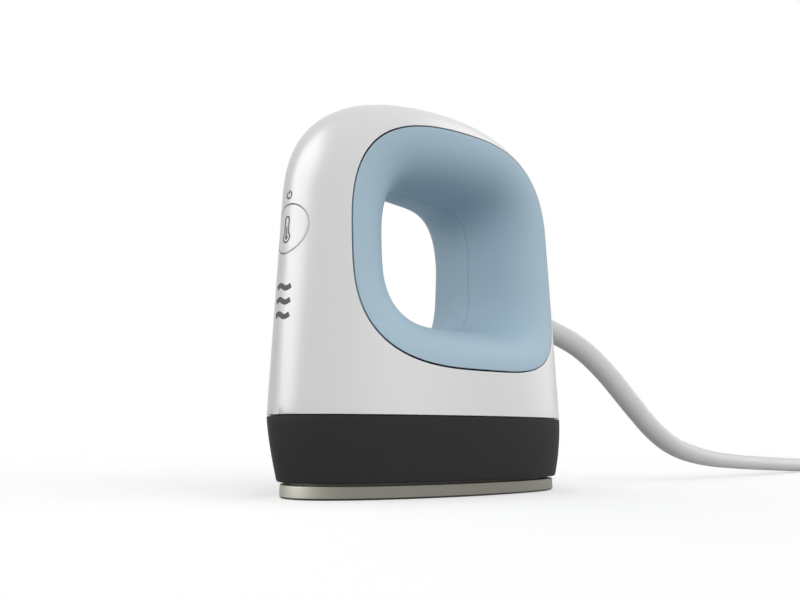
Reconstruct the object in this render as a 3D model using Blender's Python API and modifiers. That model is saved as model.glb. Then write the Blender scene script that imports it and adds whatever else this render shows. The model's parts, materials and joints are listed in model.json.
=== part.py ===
"""A mini handheld heat press, in metres, +Z up.

The origin is the middle of the resting face, under the heat plate. The nose, with its
button and lights, faces -Y, and the mains cord leaves the rear at +Y.
"""
import bpy
import bmesh
from math import ceil, cos, pi, sin
from mathutils import Matrix, Vector

# General clearances
fit_gap = 0.0003
weld = 0.00001
overrun = 0.002
spare_reach = 0.12

# Heat plate, which sets the size of all that stands on it
plate_length = 0.08255
plate_width = 0.0508
plate_edge_height = 0.0033
plate_fillet = 0.0005
plate_collar_inset = 0.0030
plate_top = 0.0055
plate_boss_radius = 0.0036
plate_boss_height = 0.0028
plate_bore_floor = 0.0036

# Base skirt
plate_recess = 0.0006
skirt_nose_margin = 0.0008
skirt_rear_margin = 0.00035
skirt_side_margin = 0.00095
skirt_nose_flare = 0.0034
skirt_rear_flare = 0.0017
skirt_side_flare = 0.00145
skirt_nose_power = 1.3
skirt_rear_power = 2.0
skirt_fillet = 0.0006
skirt_wall = 0.0020
skirt_flange = 0.0016
seam_height = 0.02035
seam_gap = 0.0003
deck_thickness = 0.0020
deck_drop = 0.0011
lip_height = 0.0030
lip_wall = 0.0014
lip_gap = 0.0009

# Outer shell
body_height = 0.1095
crown_forward = 0.0025
nose_crown_depth = 0.0328
rear_crown_depth = 0.0320
side_crown_depth = 0.0243
nose_roundness = 2.40
rear_roundness = 2.08
side_roundness = 2.73
nose_lean = 0.0425
rear_lean = 0.0123
side_lean = 0.0478
nose_power = 0.469
rear_power = 0.184
shell_wall = 0.0022
form_depth = 0.0120

# Snap catches: ledges in the shell over which the skirt's arms click
catch_width = 0.0060
catch_nose_width = 0.0030
catch_ledge = 0.0012
catch_thickness = 0.0014
catch_bottom = 0.0250
catch_bite = 0.0005
catch_hold = 0.0007
catch_arm = 0.0014
catch_barb = 0.0012
catch_side_place = 0.0100

# Finger opening: its flared rim, and its waist where the two grips meet
opening_forward = -0.0042
opening_rise_share = 0.501
rim_nose_margin = 0.0122
rim_rear_margin = 0.0060
rim_crown_margin = 0.0095
rim_base_margin = 0.0116
nose_post = 0.0294
rear_post = 0.0179
crown_bar = 0.0241
base_bar = 0.0251
rim_powers = (2.90, 3.00, 3.13, 3.44)
waist_powers = (4.2, 4.3, 3.6, 3.95)
grip_roll_power = 0.85
grip_wall = 0.0018
grip_parting = 0.0004
grip_rows = 7
opening_columns = 48
skin_rows = 7
outline_columns = 44
inner_columns = 32

# Mode button, on the nose
button_rise_share = 0.531
button_half_width = 0.0064
button_above = 0.0062
button_below = 0.0067
button_powers = (2.1, 2.1, 2.0, 2.0)
button_travel = 0.0006
button_flange = 0.0008
button_flange_reach = 0.0011
button_stem_radius = 0.0018
button_stem = 0.0012

# Control board, behind the nose
control_board_width = 0.0130
control_board_thickness = 0.0016
control_board_foot = 0.0076
control_board_edge = 0.0006
control_board_depth = 0.0100
control_crown_depth = 0.0080
control_boss_radius = 0.0026
control_boss_room_low = 0.0005
control_boss_room_high = 0.0018
switch_width = 0.0060
plunger_radius = 0.0017
plunger_proud = 0.0010
plunger_sunk = 0.0012
led_width = 0.0030
led_depth = 0.0014
led_height = 0.0020
heat_light_drops = (0.0230, 0.01925, 0.0155)
power_light_rise = 0.0089
guide_radius = 0.0016
guide_plate_width = 0.0080
guide_plate_thickness = 0.0012
guide_plate_inset = 0.0004
power_guide_radius = 0.0012

# Heating parts on the plate
element_radius = 0.0024
element_inset = 0.0080
element_height = 0.0062
element_leg_rise = 0.0142
element_turn = 0.0030
element_end_share = 0.385
sensor_sink = 0.0006
fuse_place = 0.0100
fuse_radius = 0.0015
fuse_length = 0.0110
thermistor_place = -0.0050
thermistor_radius = 0.0012
thermistor_length = 0.0050
clip_sheet = 0.0005
clip_width = 0.0036
clip_foot = 0.0026
pad_bottom = 0.0094
pad_thickness = 0.0025
pad_inset = 0.0052
shield_sheet = 0.0008
shield_inset = 0.0038
shield_flange = 0.0026
standoff_radius = 0.0032
plate_screw_nose = 0.0180
plate_screw_rear = 0.0098
plate_screw_spread = 0.0090

# Screws
screw_radius = 0.0014
screw_head_radius = 0.0028
screw_head_height = 0.0018
screw_clearance = 0.0004
small_screw_radius = 0.0010
small_screw_head_radius = 0.0019
small_screw_head_height = 0.0012
small_screw_length = 0.0060

# Power board, on the deck
board_width = 0.0260
board_front = -0.0180
board_back = 0.0300
board_thickness = 0.0016
board_post = 0.0044
board_post_radius = 0.0026
board_post_spread = 0.0100
board_post_inset = 0.0035
capacitor_size = (0.0130, 0.0060, 0.0110)
capacitor_place = (-0.0035, -0.0080)
electrolytic_radius = 0.0040
electrolytic_height = 0.0105
electrolytic_place = (0.0080, -0.0080)
triac_size = (0.0100, 0.0044, 0.0095)
triac_place = (-0.0050, 0.0040)
sink_size = (0.0180, 0.0016, 0.0120)
sink_fin = 0.0050
sink_fin_thickness = 0.0010
sink_fins = 5
varistor_radius = 0.0042
varistor_thickness = 0.0036
varistor_place = (0.0085, 0.0030)
terminal_size = (0.0140, 0.0080, 0.0095)
terminal_place = (0.0, 0.0245)
terminal_wire_radius = 0.0014
small_bevel = 0.0004

# Leads inside the press
lead_radius = 0.0009
mains_lead_spread = 0.0017
cable_radius = 0.0013

# Cord: boot, free stretch, hank, tie and plug
cord_radius = 0.0027
boot_neck_radius = 0.0033
boot_root_radius = 0.0038
boot_tip_radius = 0.0032
boot_length = 0.0600
boot_collar_radius = 0.0060
boot_collar = 0.0016
cord_height = 0.0543
cord_step = 0.0110
hank_place = (0.0010, 0.4310)
hank_run = 0.0280
hank_inner = 0.0164
hank_pitch = 0.0063
hank_layers = 4
hank_layer_turns = 1.5
hank_layer_rise = 0.00585
hank_dip = 0.0070
hank_run_share = 0.28
hank_loop_points = 36
hank_tail_level = 0.0100
hank_tail = 0.0340
hank_tail_steps = 6
cord_end_step = 0.0015
tie_sheet = 0.0006
tie_width = 0.0080
plug_place = 0.0198
plug_half_height = 0.0085
plug_length = 0.0280
plug_width = 0.0200
plug_nose = 0.0120
plug_bevel = 0.0030
blade_length = 0.0165
blade_width = 0.0063
blade_thickness = 0.0015
blade_spread = 0.0127
blade_seat = 0.0040
blade_hole_radius = 0.0015
blade_hole_back = 0.0030

# The cord's route from the rear wall to the floor, chosen by hand
cord_route = (
    (0.0000, 0.0440, 0.0543),
    (0.0008, 0.0510, 0.0539),
    (0.0032, 0.0580, 0.0521),
    (0.0065, 0.0634, 0.0495),
    (0.0115, 0.0700, 0.0446),
    (0.0164, 0.0762, 0.0370),
    (0.0212, 0.0825, 0.0271),
    (0.0250, 0.0893, 0.0182),
    (0.0269, 0.0980, 0.0127),
    (0.0272, 0.1107, 0.0095),
    (0.0270, 0.1290, 0.0071),
    (0.0270, 0.1490, 0.0057),
    (0.0270, 0.1715, 0.0046),
    (0.0271, 0.1950, 0.0036),
    (0.0272, 0.2120, 0.0030),
    (0.0262, 0.2300, 0.0029),
    (0.0235, 0.2480, 0.0029),
    (0.0190, 0.2660, 0.0030),
    (0.0135, 0.2820, 0.0030),
    (0.0080, 0.2970, 0.0030),
    (0.0022, 0.3130, 0.0030),
    (-0.0040, 0.3310, 0.0031),
    (-0.0105, 0.3480, 0.0032),
    (-0.0175, 0.3640, 0.0033),
    (-0.0230, 0.3770, 0.0034),
)

# Sizes worked out from those above
body_length = plate_length + skirt_nose_margin + skirt_rear_margin + skirt_nose_flare + skirt_rear_flare
body_width = plate_width + 2 * (skirt_side_margin + skirt_side_flare)
nose_y = -body_length / 2
rear_y = body_length / 2
plate_front = nose_y + skirt_nose_flare + skirt_nose_margin
plate_rear = rear_y - skirt_rear_flare - skirt_rear_margin
skirt_bottom = plate_edge_height + plate_recess
skirt_top = seam_height - seam_gap
deck_top = seam_height - deck_drop
deck_bottom = deck_top - deck_thickness
boss_top = plate_top + plate_boss_height
pad_top = pad_bottom + pad_thickness
shield_bottom = pad_top + fit_gap
shield_top = shield_bottom + shield_sheet
board_bottom = deck_top + board_post + fit_gap
board_top = board_bottom + board_thickness
part_seat = board_top + fit_gap
opening_y = -opening_forward
opening_z = seam_height + opening_rise_share * (body_height - seam_height)
button_height = seam_height + button_rise_share * (body_height - seam_height)
heat_light_heights = tuple(button_height - drop for drop in heat_light_drops)
power_light_height = button_height + power_light_rise
control_boss_low = heat_light_heights[0] - guide_radius - control_boss_radius - control_boss_room_low
control_boss_high = (power_light_height + power_guide_radius + control_boss_radius
                     + control_boss_room_high)
control_board_bottom = control_boss_low - control_board_foot
control_board_top = control_boss_high + control_boss_radius + control_board_edge
plan_middle = nose_power / (nose_power + rear_power)
plan_peak = 1 / (plan_middle ** nose_power * (1 - plan_middle) ** rear_power)
hank_base = tie_sheet + fit_gap + cord_radius
hank_first = -hank_run_share / 2
hank_last = hank_layers * hank_layer_turns - 1 / 2 + hank_run_share / 2
bore_radius = screw_radius + screw_clearance

collection = bpy.data.collections.new("heat_press")
cutters = bpy.data.collections.new("cutters")
for group in (collection, cutters):
    bpy.context.scene.collection.children.link(group)


def clear_scene():
    for item in list(bpy.data.objects):
        bpy.data.objects.remove(item)


def material(name, colour, roughness, metallic=0.0):
    made = bpy.data.materials.new(name)
    made.use_nodes = True
    shader = made.node_tree.nodes["Principled BSDF"]
    shader.inputs["Base Color"].default_value = (*colour, 1)
    shader.inputs["Roughness"].default_value = roughness
    shader.inputs["Metallic"].default_value = metallic
    return made


clear_scene()
white_plastic = material("white_plastic", (0.62, 0.62, 0.62), 0.35)
blue_grip = material("blue_grip", (0.32, 0.44, 0.51), 0.55)
black_plastic = material("black_plastic", (0.03, 0.03, 0.03), 0.55)
plate_metal = material("plate_metal", (0.36, 0.36, 0.30), 0.35, 1.0)
sheath_metal = material("sheath_metal", (0.25, 0.24, 0.23), 0.45, 1.0)
sheet_steel = material("sheet_steel", (0.55, 0.56, 0.57), 0.30, 1.0)
zinc_steel = material("zinc_steel", (0.60, 0.60, 0.58), 0.30, 1.0)
brass = material("brass", (0.75, 0.55, 0.25), 0.30, 1.0)
felt = material("felt", (0.75, 0.73, 0.68), 0.95)
ceramic = material("ceramic", (0.85, 0.83, 0.78), 0.40)
green_board = material("green_board", (0.03, 0.20, 0.08), 0.45)
clear_plastic = material("clear_plastic", (0.80, 0.85, 0.88), 0.15)
dark_part = material("dark_part", (0.04, 0.04, 0.05), 0.40)
yellow_film = material("yellow_film", (0.75, 0.55, 0.10), 0.40)
blue_part = material("blue_part", (0.05, 0.15, 0.45), 0.45)
lead_cover = material("lead_cover", (0.45, 0.40, 0.36), 0.55)
white_cord = material("white_cord", (0.66, 0.66, 0.66), 0.45)


def place_object(name, data, finish, group=None):
    made = bpy.data.objects.new(name, data)
    data.materials.append(finish)
    (group or collection).objects.link(made)
    return made


def as_cutter(item):
    for group in list(item.users_collection):
        group.objects.unlink(item)
    cutters.objects.link(item)
    item.hide_render = True
    item.display_type = "WIRE"
    return item


def from_bmesh(name, shape, finish):
    mesh = bpy.data.meshes.new(name)
    shape.to_mesh(mesh)
    shape.free()
    return place_object(name, mesh, finish)


def mapped_grid(name, columns, rows, place, finish, closed=True):
    """A grid whose corners, from 0 to 1 each way, move to place(across, up)."""
    shape = bmesh.new()
    bmesh.ops.create_grid(shape, x_segments=columns, y_segments=rows, size=1)
    for corner in shape.verts:
        across = (corner.co.x + 1) / 2
        up = (corner.co.y + 1) / 2
        corner.co = place(across, up)
    bmesh.ops.remove_doubles(shape, verts=shape.verts, dist=weld)
    if closed:
        bmesh.ops.holes_fill(shape, edges=shape.edges, sides=0)
        bmesh.ops.recalc_face_normals(shape, faces=shape.faces)
    return from_bmesh(name, shape, finish)


def box(name, low, high, finish, bevel=0.0):
    size = [top - bottom for bottom, top in zip(low, high)]
    middle = [(top + bottom) / 2 for bottom, top in zip(low, high)]
    shape = bmesh.new()
    bmesh.ops.create_cube(shape, size=1)
    bmesh.ops.scale(shape, vec=size, verts=shape.verts)
    bmesh.ops.translate(shape, vec=middle, verts=shape.verts)
    made = from_bmesh(name, shape, finish)
    if bevel:
        rounding = made.modifiers.new("rounded_edges", "BEVEL")
        rounding.width = bevel
        rounding.segments = 2
    return made


def rod(name, start, end, radius, finish, sides=16, end_radius=None):
    """A cylinder or cone from start to end."""
    start, end = Vector(start), Vector(end)
    run = end - start
    turn = run.to_track_quat("Z", "Y").to_matrix().to_4x4()
    shape = bmesh.new()
    bmesh.ops.create_cone(shape, cap_ends=True, segments=sides, radius1=radius,
                          radius2=radius if end_radius is None else end_radius, depth=run.length)
    bmesh.ops.transform(shape, matrix=Matrix.Translation((start + end) / 2) @ turn, verts=shape.verts)
    return from_bmesh(name, shape, finish)


def boolean(target, operation, *others):
    for other in others:
        change = target.modifiers.new(operation.lower(), "BOOLEAN")
        change.operation = operation
        change.solver = "EXACT"
        change.object = as_cutter(other)
    return target


def cut(target, *others):
    return boolean(target, "DIFFERENCE", *others)


def join(target, *others):
    return boolean(target, "UNION", *others)


def tube(name, points, radius, finish, roundness=2, radii=None):
    """A round tube along points, as a curve with filled caps."""
    curve = bpy.data.curves.new(name, "CURVE")
    curve.dimensions = "3D"
    curve.bevel_depth = radius
    curve.bevel_resolution = roundness
    curve.use_fill_caps = True
    spline = curve.splines.new("POLY")
    spline.points.add(len(points) - 1)
    for index, point in enumerate(points):
        spline.points[index].co = (*point, 1)
        spline.points[index].radius = radii[index] / radius if radii else 1
    return place_object(name, curve, finish)


def made_mesh(item):
    """The same object as a welded mesh, for a curve that is cut or joined."""
    bpy.context.view_layer.update()
    graph = bpy.context.evaluated_depsgraph_get()
    mesh = bpy.data.meshes.new_from_object(item.evaluated_get(graph))
    shape = bmesh.new()
    shape.from_mesh(mesh)
    bmesh.ops.remove_doubles(shape, verts=shape.verts, dist=weld)
    bmesh.ops.recalc_face_normals(shape, faces=shape.faces)
    shape.to_mesh(mesh)
    shape.free()
    name, place = item.name, item.matrix_world.copy()
    bpy.data.objects.remove(item)
    made = bpy.data.objects.new(name, mesh)
    made.matrix_world = place
    collection.objects.link(made)
    return made


def smooth_line(points, step):
    """Points a step apart on a smooth curve through the given ones."""
    points = [Vector(point) for point in points]
    gaps = [(after - before).length for before, after in zip(points, points[1:])]
    slopes = [(points[1] - points[0]) / gaps[0]]
    for index in range(1, len(points) - 1):
        slopes.append((points[index + 1] - points[index - 1]) / (gaps[index] + gaps[index - 1]))
    slopes.append((points[-1] - points[-2]) / gaps[-1])
    fine = [points[0]]
    parts = 24
    for index, gap in enumerate(gaps):
        for part in range(1, parts + 1):
            share = part / parts
            away = 2 * share ** 3 - 3 * share ** 2 + 1
            leave = share ** 3 - 2 * share ** 2 + share
            arrive = share ** 3 - share ** 2
            fine.append(away * points[index] + (1 - away) * points[index + 1]
                        + gap * (leave * slopes[index] + arrive * slopes[index + 1]))
    runs = [0]
    for before, after in zip(fine, fine[1:]):
        runs.append(runs[-1] + (after - before).length)
    count = ceil(runs[-1] / step)
    made = []
    at = 0
    for index in range(count + 1):
        target = runs[-1] * index / count
        while at < len(fine) - 2 and runs[at + 1] < target:
            at += 1
        share = (target - runs[at]) / (runs[at + 1] - runs[at])
        made.append(fine[at].lerp(fine[at + 1], share))
    return made


def line_length(points):
    return sum((after - before).length for before, after in zip(points, points[1:]))


# The plan outline, shared by the plate, the skirt and the shell

def outline_half(share, half):
    """Half the width at a share of the way from nose to rear."""
    return half * plan_peak * share ** nose_power * (1 - share) ** rear_power


def outline_point(turn, front, back, half, height):
    share = min(max((1 - cos(2 * pi * turn)) / 2, 0), 1)
    side = 1 if turn <= 0.5 else -1
    return Vector((side * outline_half(share, half), front + (back - front) * share, height))


def lofted(name, levels, finish, columns=outline_columns):
    """A solid through plan outlines, each given as front, back, half width and height."""
    def place(across, up):
        level = levels[round(up * (len(levels) - 1))]
        return outline_point(across, *level)
    return mapped_grid(name, columns, len(levels) - 1, place, finish)


def plate_level(inset, height):
    return (plate_front + inset, plate_rear - inset, plate_width / 2 - inset, height)


def skirt_level(inset, height):
    """The skirt's outline, which draws in below the seam."""
    drop = min(max((skirt_top - height) / (skirt_top - skirt_bottom), 0), 1)
    rear_drop = drop ** skirt_rear_power
    return (nose_y + skirt_nose_flare * drop ** skirt_nose_power + inset,
            rear_y - skirt_rear_flare * rear_drop - inset,
            body_width / 2 - skirt_side_flare * rear_drop - inset, height)


# The body's form, from the seam to the crown

def rounded_off(share, power):
    share = min(max(share, 0), 1)
    return (1 - share ** power) ** (1 / power)


def nose_edge(height):
    straight = nose_y + nose_lean * (height - seam_height)
    share = (height - body_height + nose_crown_depth) / nose_crown_depth
    return -crown_forward + (straight + crown_forward) * rounded_off(share, nose_roundness)


def rear_edge(height):
    straight = rear_y - rear_lean * (height - seam_height)
    share = (height - body_height + rear_crown_depth) / rear_crown_depth
    return -crown_forward + (straight + crown_forward) * rounded_off(share, rear_roundness)


def widest_half(height):
    straight = body_width / 2 - side_lean * (height - seam_height)
    share = (height - body_height + side_crown_depth) / side_crown_depth
    return straight * rounded_off(share, side_roundness)


def body_half(y, height):
    """Half the body's width at a place in its side view."""
    if height >= body_height:
        return 0
    front, back = nose_edge(height), rear_edge(height)
    if not front < y < back:
        return 0
    return outline_half((y - front) / (back - front), widest_half(height))


def ring_reach(angle, halves, powers):
    """How far a rounded outline reaches at an angle; halves are rear, nose, up and down."""
    rear, nose, up, down = halves
    rear_up, nose_up, nose_down, rear_down = powers
    across, high = cos(angle), sin(angle)
    if across >= 0:
        half, power = rear, rear_up if high >= 0 else rear_down
    else:
        half, power = nose, nose_up if high >= 0 else nose_down
    tall = up if high >= 0 else down
    return ((abs(across) / half) ** power + (abs(high) / tall) ** power) ** (-1 / power)


rim_halves = (rear_y - rim_rear_margin - opening_y, opening_y - nose_y - rim_nose_margin,
              body_height - rim_crown_margin - opening_z, opening_z - seam_height - rim_base_margin)
waist_halves = (rear_y - rear_post - opening_y, opening_y - nose_y - nose_post,
                body_height - crown_bar - opening_z, opening_z - seam_height - base_bar)


def side_point(angle, reach):
    return opening_y + reach * cos(angle), opening_z + reach * sin(angle)


def body_reach(angle):
    """How far the body's side view reaches from the opening's middle, and if it ends in a skirt."""
    far = spare_reach
    near = ring_reach(angle, rim_halves, rim_powers)
    floor = seam_height - form_depth
    if sin(angle) < 0:
        to_floor = (floor - opening_z) / sin(angle)
        if to_floor < far and body_half(*side_point(angle, to_floor)) > 0:
            return to_floor
    for _ in range(40):
        middle = (near + far) / 2
        if body_half(*side_point(angle, middle)) > 0:
            near = middle
        else:
            far = middle
    return near


def body_surface(across, up):
    """The body's +X skin, from just inside the rim out to its middle plane."""
    angle = 2 * pi * across
    inner = ring_reach(angle, rim_halves, rim_powers) - 2 * shell_wall
    outer = body_reach(angle)
    y, z = side_point(angle, inner + (outer - inner) * sin(up * pi / 2))
    half = body_half(y, z)
    if up == 1 and z > seam_height - form_depth + weld:
        half = 0
    return Vector((half, y, z))


def grip_surface(across, up):
    """The +X grip's face, which rolls from flush with the body to square through the waist.

    Its first row lies past the rim and its last past the middle plane, where both are trimmed.
    """
    angle = 2 * pi * across
    rim = ring_reach(angle, rim_halves, rim_powers)
    half = body_half(*side_point(angle, rim))
    waist = ring_reach(angle, waist_halves, waist_powers)
    roll = min(max((up * grip_rows - 1) / (grip_rows - 2), 0), 1) * pi / 2
    x = half * cos(roll) ** grip_roll_power
    reach = rim - fit_gap + (waist - rim + fit_gap) * sin(roll) ** grip_roll_power
    if up == 0:
        reach = rim + overrun
    if up == 1:
        x = -overrun
    return Vector((x, *side_point(angle, reach)))


def rim_prism(name, inset):
    """The rim's outline, run right through the body, with its corners between the skin's columns."""
    def place(across, up):
        angle = 2 * pi * (across + 1 / (2 * opening_columns))
        reach = ring_reach(angle, rim_halves, rim_powers) - inset
        return Vector(((2 * up - 1) * body_width, *side_point(angle, reach)))
    return mapped_grid(name, opening_columns, 1, place, white_plastic)


def thickened(item, wall, offset):
    shell = item.modifiers.new("wall", "SOLIDIFY")
    shell.thickness = wall
    shell.offset = offset
    shell.use_even_offset = True
    shell.use_quality_normals = True
    return item


def mirrored(item):
    other_half = item.modifiers.new("other_half", "MIRROR")
    other_half.use_axis = (True, False, False)
    other_half.merge_threshold = weld
    return item


def outline_prism(name, middle_height, halves, powers, y_low, y_high, finish, columns=28):
    """A rounded outline in the nose's front view, run along Y."""
    def place(across, up):
        angle = 2 * pi * across
        reach = ring_reach(angle, halves, powers)
        return Vector((reach * cos(angle), y_low + (y_high - y_low) * up,
                       middle_height + reach * sin(angle)))
    return mapped_grid(name, columns, 1, place, finish)


def button_prism(name, spread, y_low, y_high):
    halves = (button_half_width + spread, button_half_width + spread,
              button_above + spread, button_below + spread)
    return outline_prism(name, button_height, halves, button_powers, y_low, y_high, white_plastic)


def turned(name, profile, place, direction, finish, sides=14):
    """A solid of revolution: profile is (radius, height), placed along a direction."""
    turn = Vector(direction).to_track_quat("Z", "Y").to_matrix().to_4x4()
    move = Matrix.Translation(place) @ turn

    def on_profile(across, up):
        radius, height = profile[round(up * (len(profile) - 1))]
        angle = 2 * pi * across
        return move @ Vector((radius * cos(angle), radius * sin(angle), height))
    return mapped_grid(name, sides, len(profile) - 1, on_profile, finish)


def screw(name, place, direction, radius, head_radius, head_height, length):
    """A pan-head screw: place is under its head, and direction points out of its head."""
    crown = head_radius / 2
    profile = ((0, head_height), (crown, head_height), (head_radius, head_height / 2),
               (head_radius, 0), (radius, 0), (radius, -length), (0, -length))
    return turned(name, profile, place, direction, zinc_steel, sides=10)


# Places shared by screws, bosses and holes
plate_screws = {"nose": (0, plate_front + plate_screw_nose),
                "left": (-plate_screw_spread, plate_rear - plate_screw_rear),
                "right": (plate_screw_spread, plate_rear - plate_screw_rear)}
post_front = board_front + board_post_inset
post_back = board_back - board_post_inset
board_screws = {"front_left": (-board_post_spread, post_front), "front_right": (board_post_spread, post_front),
                "rear_left": (-board_post_spread, post_back), "rear_right": (board_post_spread, post_back)}
control_back = max(nose_edge(button_height) + control_board_depth,
                   nose_edge(control_board_top) + control_crown_depth)
control_front = control_back - control_board_thickness


def catches():
    """Each catch's name, direction, place across it, width, and the shell's inner wall along it."""
    height = catch_bottom + catch_thickness
    share = (catch_side_place - nose_edge(height)) / (rear_edge(height) - nose_edge(height))
    side_wall = outline_half(share, widest_half(height)) - shell_wall
    return (("nose", (0, -1), 0, catch_nose_width, -nose_edge(height) - shell_wall),
            ("rear", (0, 1), 0, catch_width, rear_edge(height) - shell_wall),
            ("left", (-1, 0), catch_side_place, catch_width, side_wall),
            ("right", (1, 0), catch_side_place, catch_width, side_wall))


def wall_box(name, direction, centre, width, near, far, low, high, finish):
    """A box from near to far along a direction."""
    half = width / 2
    dx, dy = direction
    xs = sorted((dx * near, dx * far)) if dx else (centre - half, centre + half)
    ys = sorted((dy * near, dy * far)) if dy else (centre - half, centre + half)
    return box(name, (xs[0], ys[0], low), (xs[1], ys[1], high), finish)


def build_shell():
    shell = mapped_grid("outer_shell", opening_columns, skin_rows, body_surface, white_plastic, closed=False)
    thickened(mirrored(shell), shell_wall, 1)
    cut(shell, rim_prism("opening_cut", 0))
    for name, direction, centre, width, wall in catches():
        join(shell, wall_box("ledge_" + name, direction, centre, width, wall - catch_ledge, wall + catch_bite,
                             catch_bottom, catch_bottom + catch_thickness, white_plastic))
    for name, height in (("low", control_boss_low), ("high", control_boss_high)):
        start = nose_edge(height) + shell_wall / 2
        join(shell, rod("board_boss_" + name, (0, start, height), (0, control_front - fit_gap, height),
                        control_boss_radius, white_plastic))
    reach = body_length
    cut(shell, box("seam_cut", (-reach, -reach, seam_height - spare_reach), (reach, reach, seam_height),
                   white_plastic))
    small_bore = small_screw_radius + screw_clearance
    for name, height in (("low", control_boss_low), ("high", control_boss_high)):
        cut(shell, rod("board_bore_" + name, (0, control_front - small_screw_length, height),
                       (0, control_front + overrun, height), small_bore, white_plastic))
    nose = nose_edge(button_height)
    cut(shell, button_prism("button_hole", fit_gap, nose - overrun, nose + button_half_width))
    wall = rear_edge(cord_height)
    cut(shell, rod("boot_hole", (0, wall - shell_wall - overrun, cord_height),
                   (0, wall + overrun, cord_height), boot_neck_radius + fit_gap, white_plastic))
    return shell


def build_grips():
    for name, side in (("grip_right", 1), ("grip_left", -1)):
        def place(across, up):
            point = grip_surface(across, up)
            point.x *= side
            return point
        grip = mapped_grid(name, opening_columns, grip_rows, place, blue_grip, closed=False)
        thickened(grip, grip_wall, -side)
        boolean(grip, "INTERSECT", rim_prism(name + "_outline", fit_gap))
        reach = body_length + body_height
        across = sorted((side * grip_parting / 2, -side * reach))
        cut(grip, box(name + "_parting", (across[0], -reach, -reach), (across[1], reach, reach), blue_grip))


def build_skirt():
    levels = []
    steps = 4
    levels.append(skirt_level(skirt_fillet, skirt_bottom))
    low = skirt_bottom + skirt_fillet
    for step in range(steps + 1):
        levels.append(skirt_level(0, low + (skirt_top - low) * step / steps))
    skirt = lofted("base_skirt", levels, black_plastic)
    lip = shell_wall + lip_gap
    lip_top = seam_height + lip_height
    join(skirt, lofted("lip", [skirt_level(lip, deck_bottom), skirt_level(lip, lip_top)], black_plastic,
                       inner_columns))
    inner = skirt_bottom + skirt_flange
    cut(skirt, lofted("skirt_cavity", [skirt_level(skirt_wall, inner), skirt_level(skirt_wall, deck_bottom)],
                      black_plastic, inner_columns))
    collar = plate_collar_inset - screw_clearance
    cut(skirt, lofted("plate_opening", [plate_level(collar, skirt_bottom - overrun),
                                        plate_level(collar, inner + overrun)], black_plastic,
                      inner_columns))
    cut(skirt, lofted("deck_recess", [skirt_level(lip + lip_wall, deck_top),
                                      skirt_level(lip + lip_wall, lip_top + overrun)], black_plastic,
                      inner_columns))
    post_top = deck_top + board_post
    for name, (x, y) in board_screws.items():
        join(skirt, rod("board_post_" + name, (x, y, deck_top - fit_gap), (x, y, post_top),
                        board_post_radius, black_plastic, sides=12))
    small_bore = small_screw_radius + screw_clearance
    for name, (x, y) in board_screws.items():
        cut(skirt, rod("post_bore_" + name, (x, y, board_bottom - small_screw_length), (x, y, post_top + overrun),
                       small_bore, black_plastic, sides=12))
    for name, (x, y) in plate_screws.items():
        cut(skirt, rod("deck_hole_" + name, (x, y, deck_bottom - overrun), (x, y, deck_top + overrun), bore_radius,
                       black_plastic, sides=12))
    for side in (-1, 1):
        x, y = element_end(side)
        cut(skirt, rod("lead_hole_{}".format(side), (x, y, deck_bottom - overrun), (x, y, deck_top + overrun),
                       element_radius, black_plastic, sides=12))
    over = catch_bottom + catch_thickness + fit_gap
    for name, direction, centre, width, wall in catches():
        outer = wall - catch_ledge - fit_gap
        join(skirt, wall_box("arm_" + name, direction, centre, width, outer - catch_arm, outer,
                             deck_top - fit_gap, over + catch_barb / 2, black_plastic))
        join(skirt, wall_box("barb_" + name, direction, centre, width, outer - catch_arm,
                             wall - catch_ledge + catch_hold, over, over + catch_barb, black_plastic))
    return skirt


def element_end(side):
    """Where the heating element's leg turns up, on each side."""
    point = outline_point(element_end_share, *plate_level(element_inset, 0))
    return side * point.x, point.y


def element_path():
    """A long U that follows the plate's outline and turns up at both ends."""
    half_path = []
    count = 12
    for step in range(count + 1):
        half_path.append(outline_point(element_end_share * step / count, *plate_level(element_inset, element_height)))
    x, y = element_end(1)
    bend = 4
    path = [point for point in half_path if y - point.y > element_turn]
    last = path[-1]
    corner = Vector((x, y, element_height))
    level = (corner - last).normalized()
    start = corner - level * element_turn
    path.append(start)
    for step in range(1, bend + 1):
        angle = pi / 2 * step / bend
        path.append(start + level * element_turn * sin(angle) + Vector((0, 0, element_turn * (1 - cos(angle)))))
    path.append(Vector((path[-1].x, path[-1].y, element_leg_rise)))
    other = [Vector((-point.x, point.y, point.z)) for point in reversed(path[1:])]
    return other + path


def build_plate():
    fillet = plate_fillet
    levels = [plate_level(fillet, 0), plate_level(0, fillet), plate_level(0, plate_edge_height - fillet),
              plate_level(fillet, plate_edge_height), plate_level(plate_collar_inset, plate_edge_height),
              plate_level(plate_collar_inset, plate_top)]
    plate = lofted("heat_plate", levels, plate_metal)
    for name, (x, y) in plate_screws.items():
        join(plate, rod("plate_boss_" + name, (x, y, plate_edge_height), (x, y, boss_top), plate_boss_radius,
                        plate_metal))
        cut(plate, rod("plate_bore_" + name, (x, y, plate_bore_floor), (x, y, boss_top + overrun), bore_radius,
                       plate_metal, sides=12))
    groove = tube("element_groove", element_path(), element_radius + fit_gap, plate_metal, 1)
    cut(plate, made_mesh(groove))
    for name, y, radius, length in (("fuse", fuse_place, fuse_radius, fuse_length),
                                    ("thermistor", thermistor_place, thermistor_radius, thermistor_length)):
        height = sensor_height(radius)
        cut(plate, rod(name + "_groove", (-length / 2 - fit_gap, y, height), (length / 2 + fit_gap, y, height),
                       radius + fit_gap, plate_metal, sides=12))
    return plate


def sensor_height(radius):
    return plate_top + radius - sensor_sink


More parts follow.
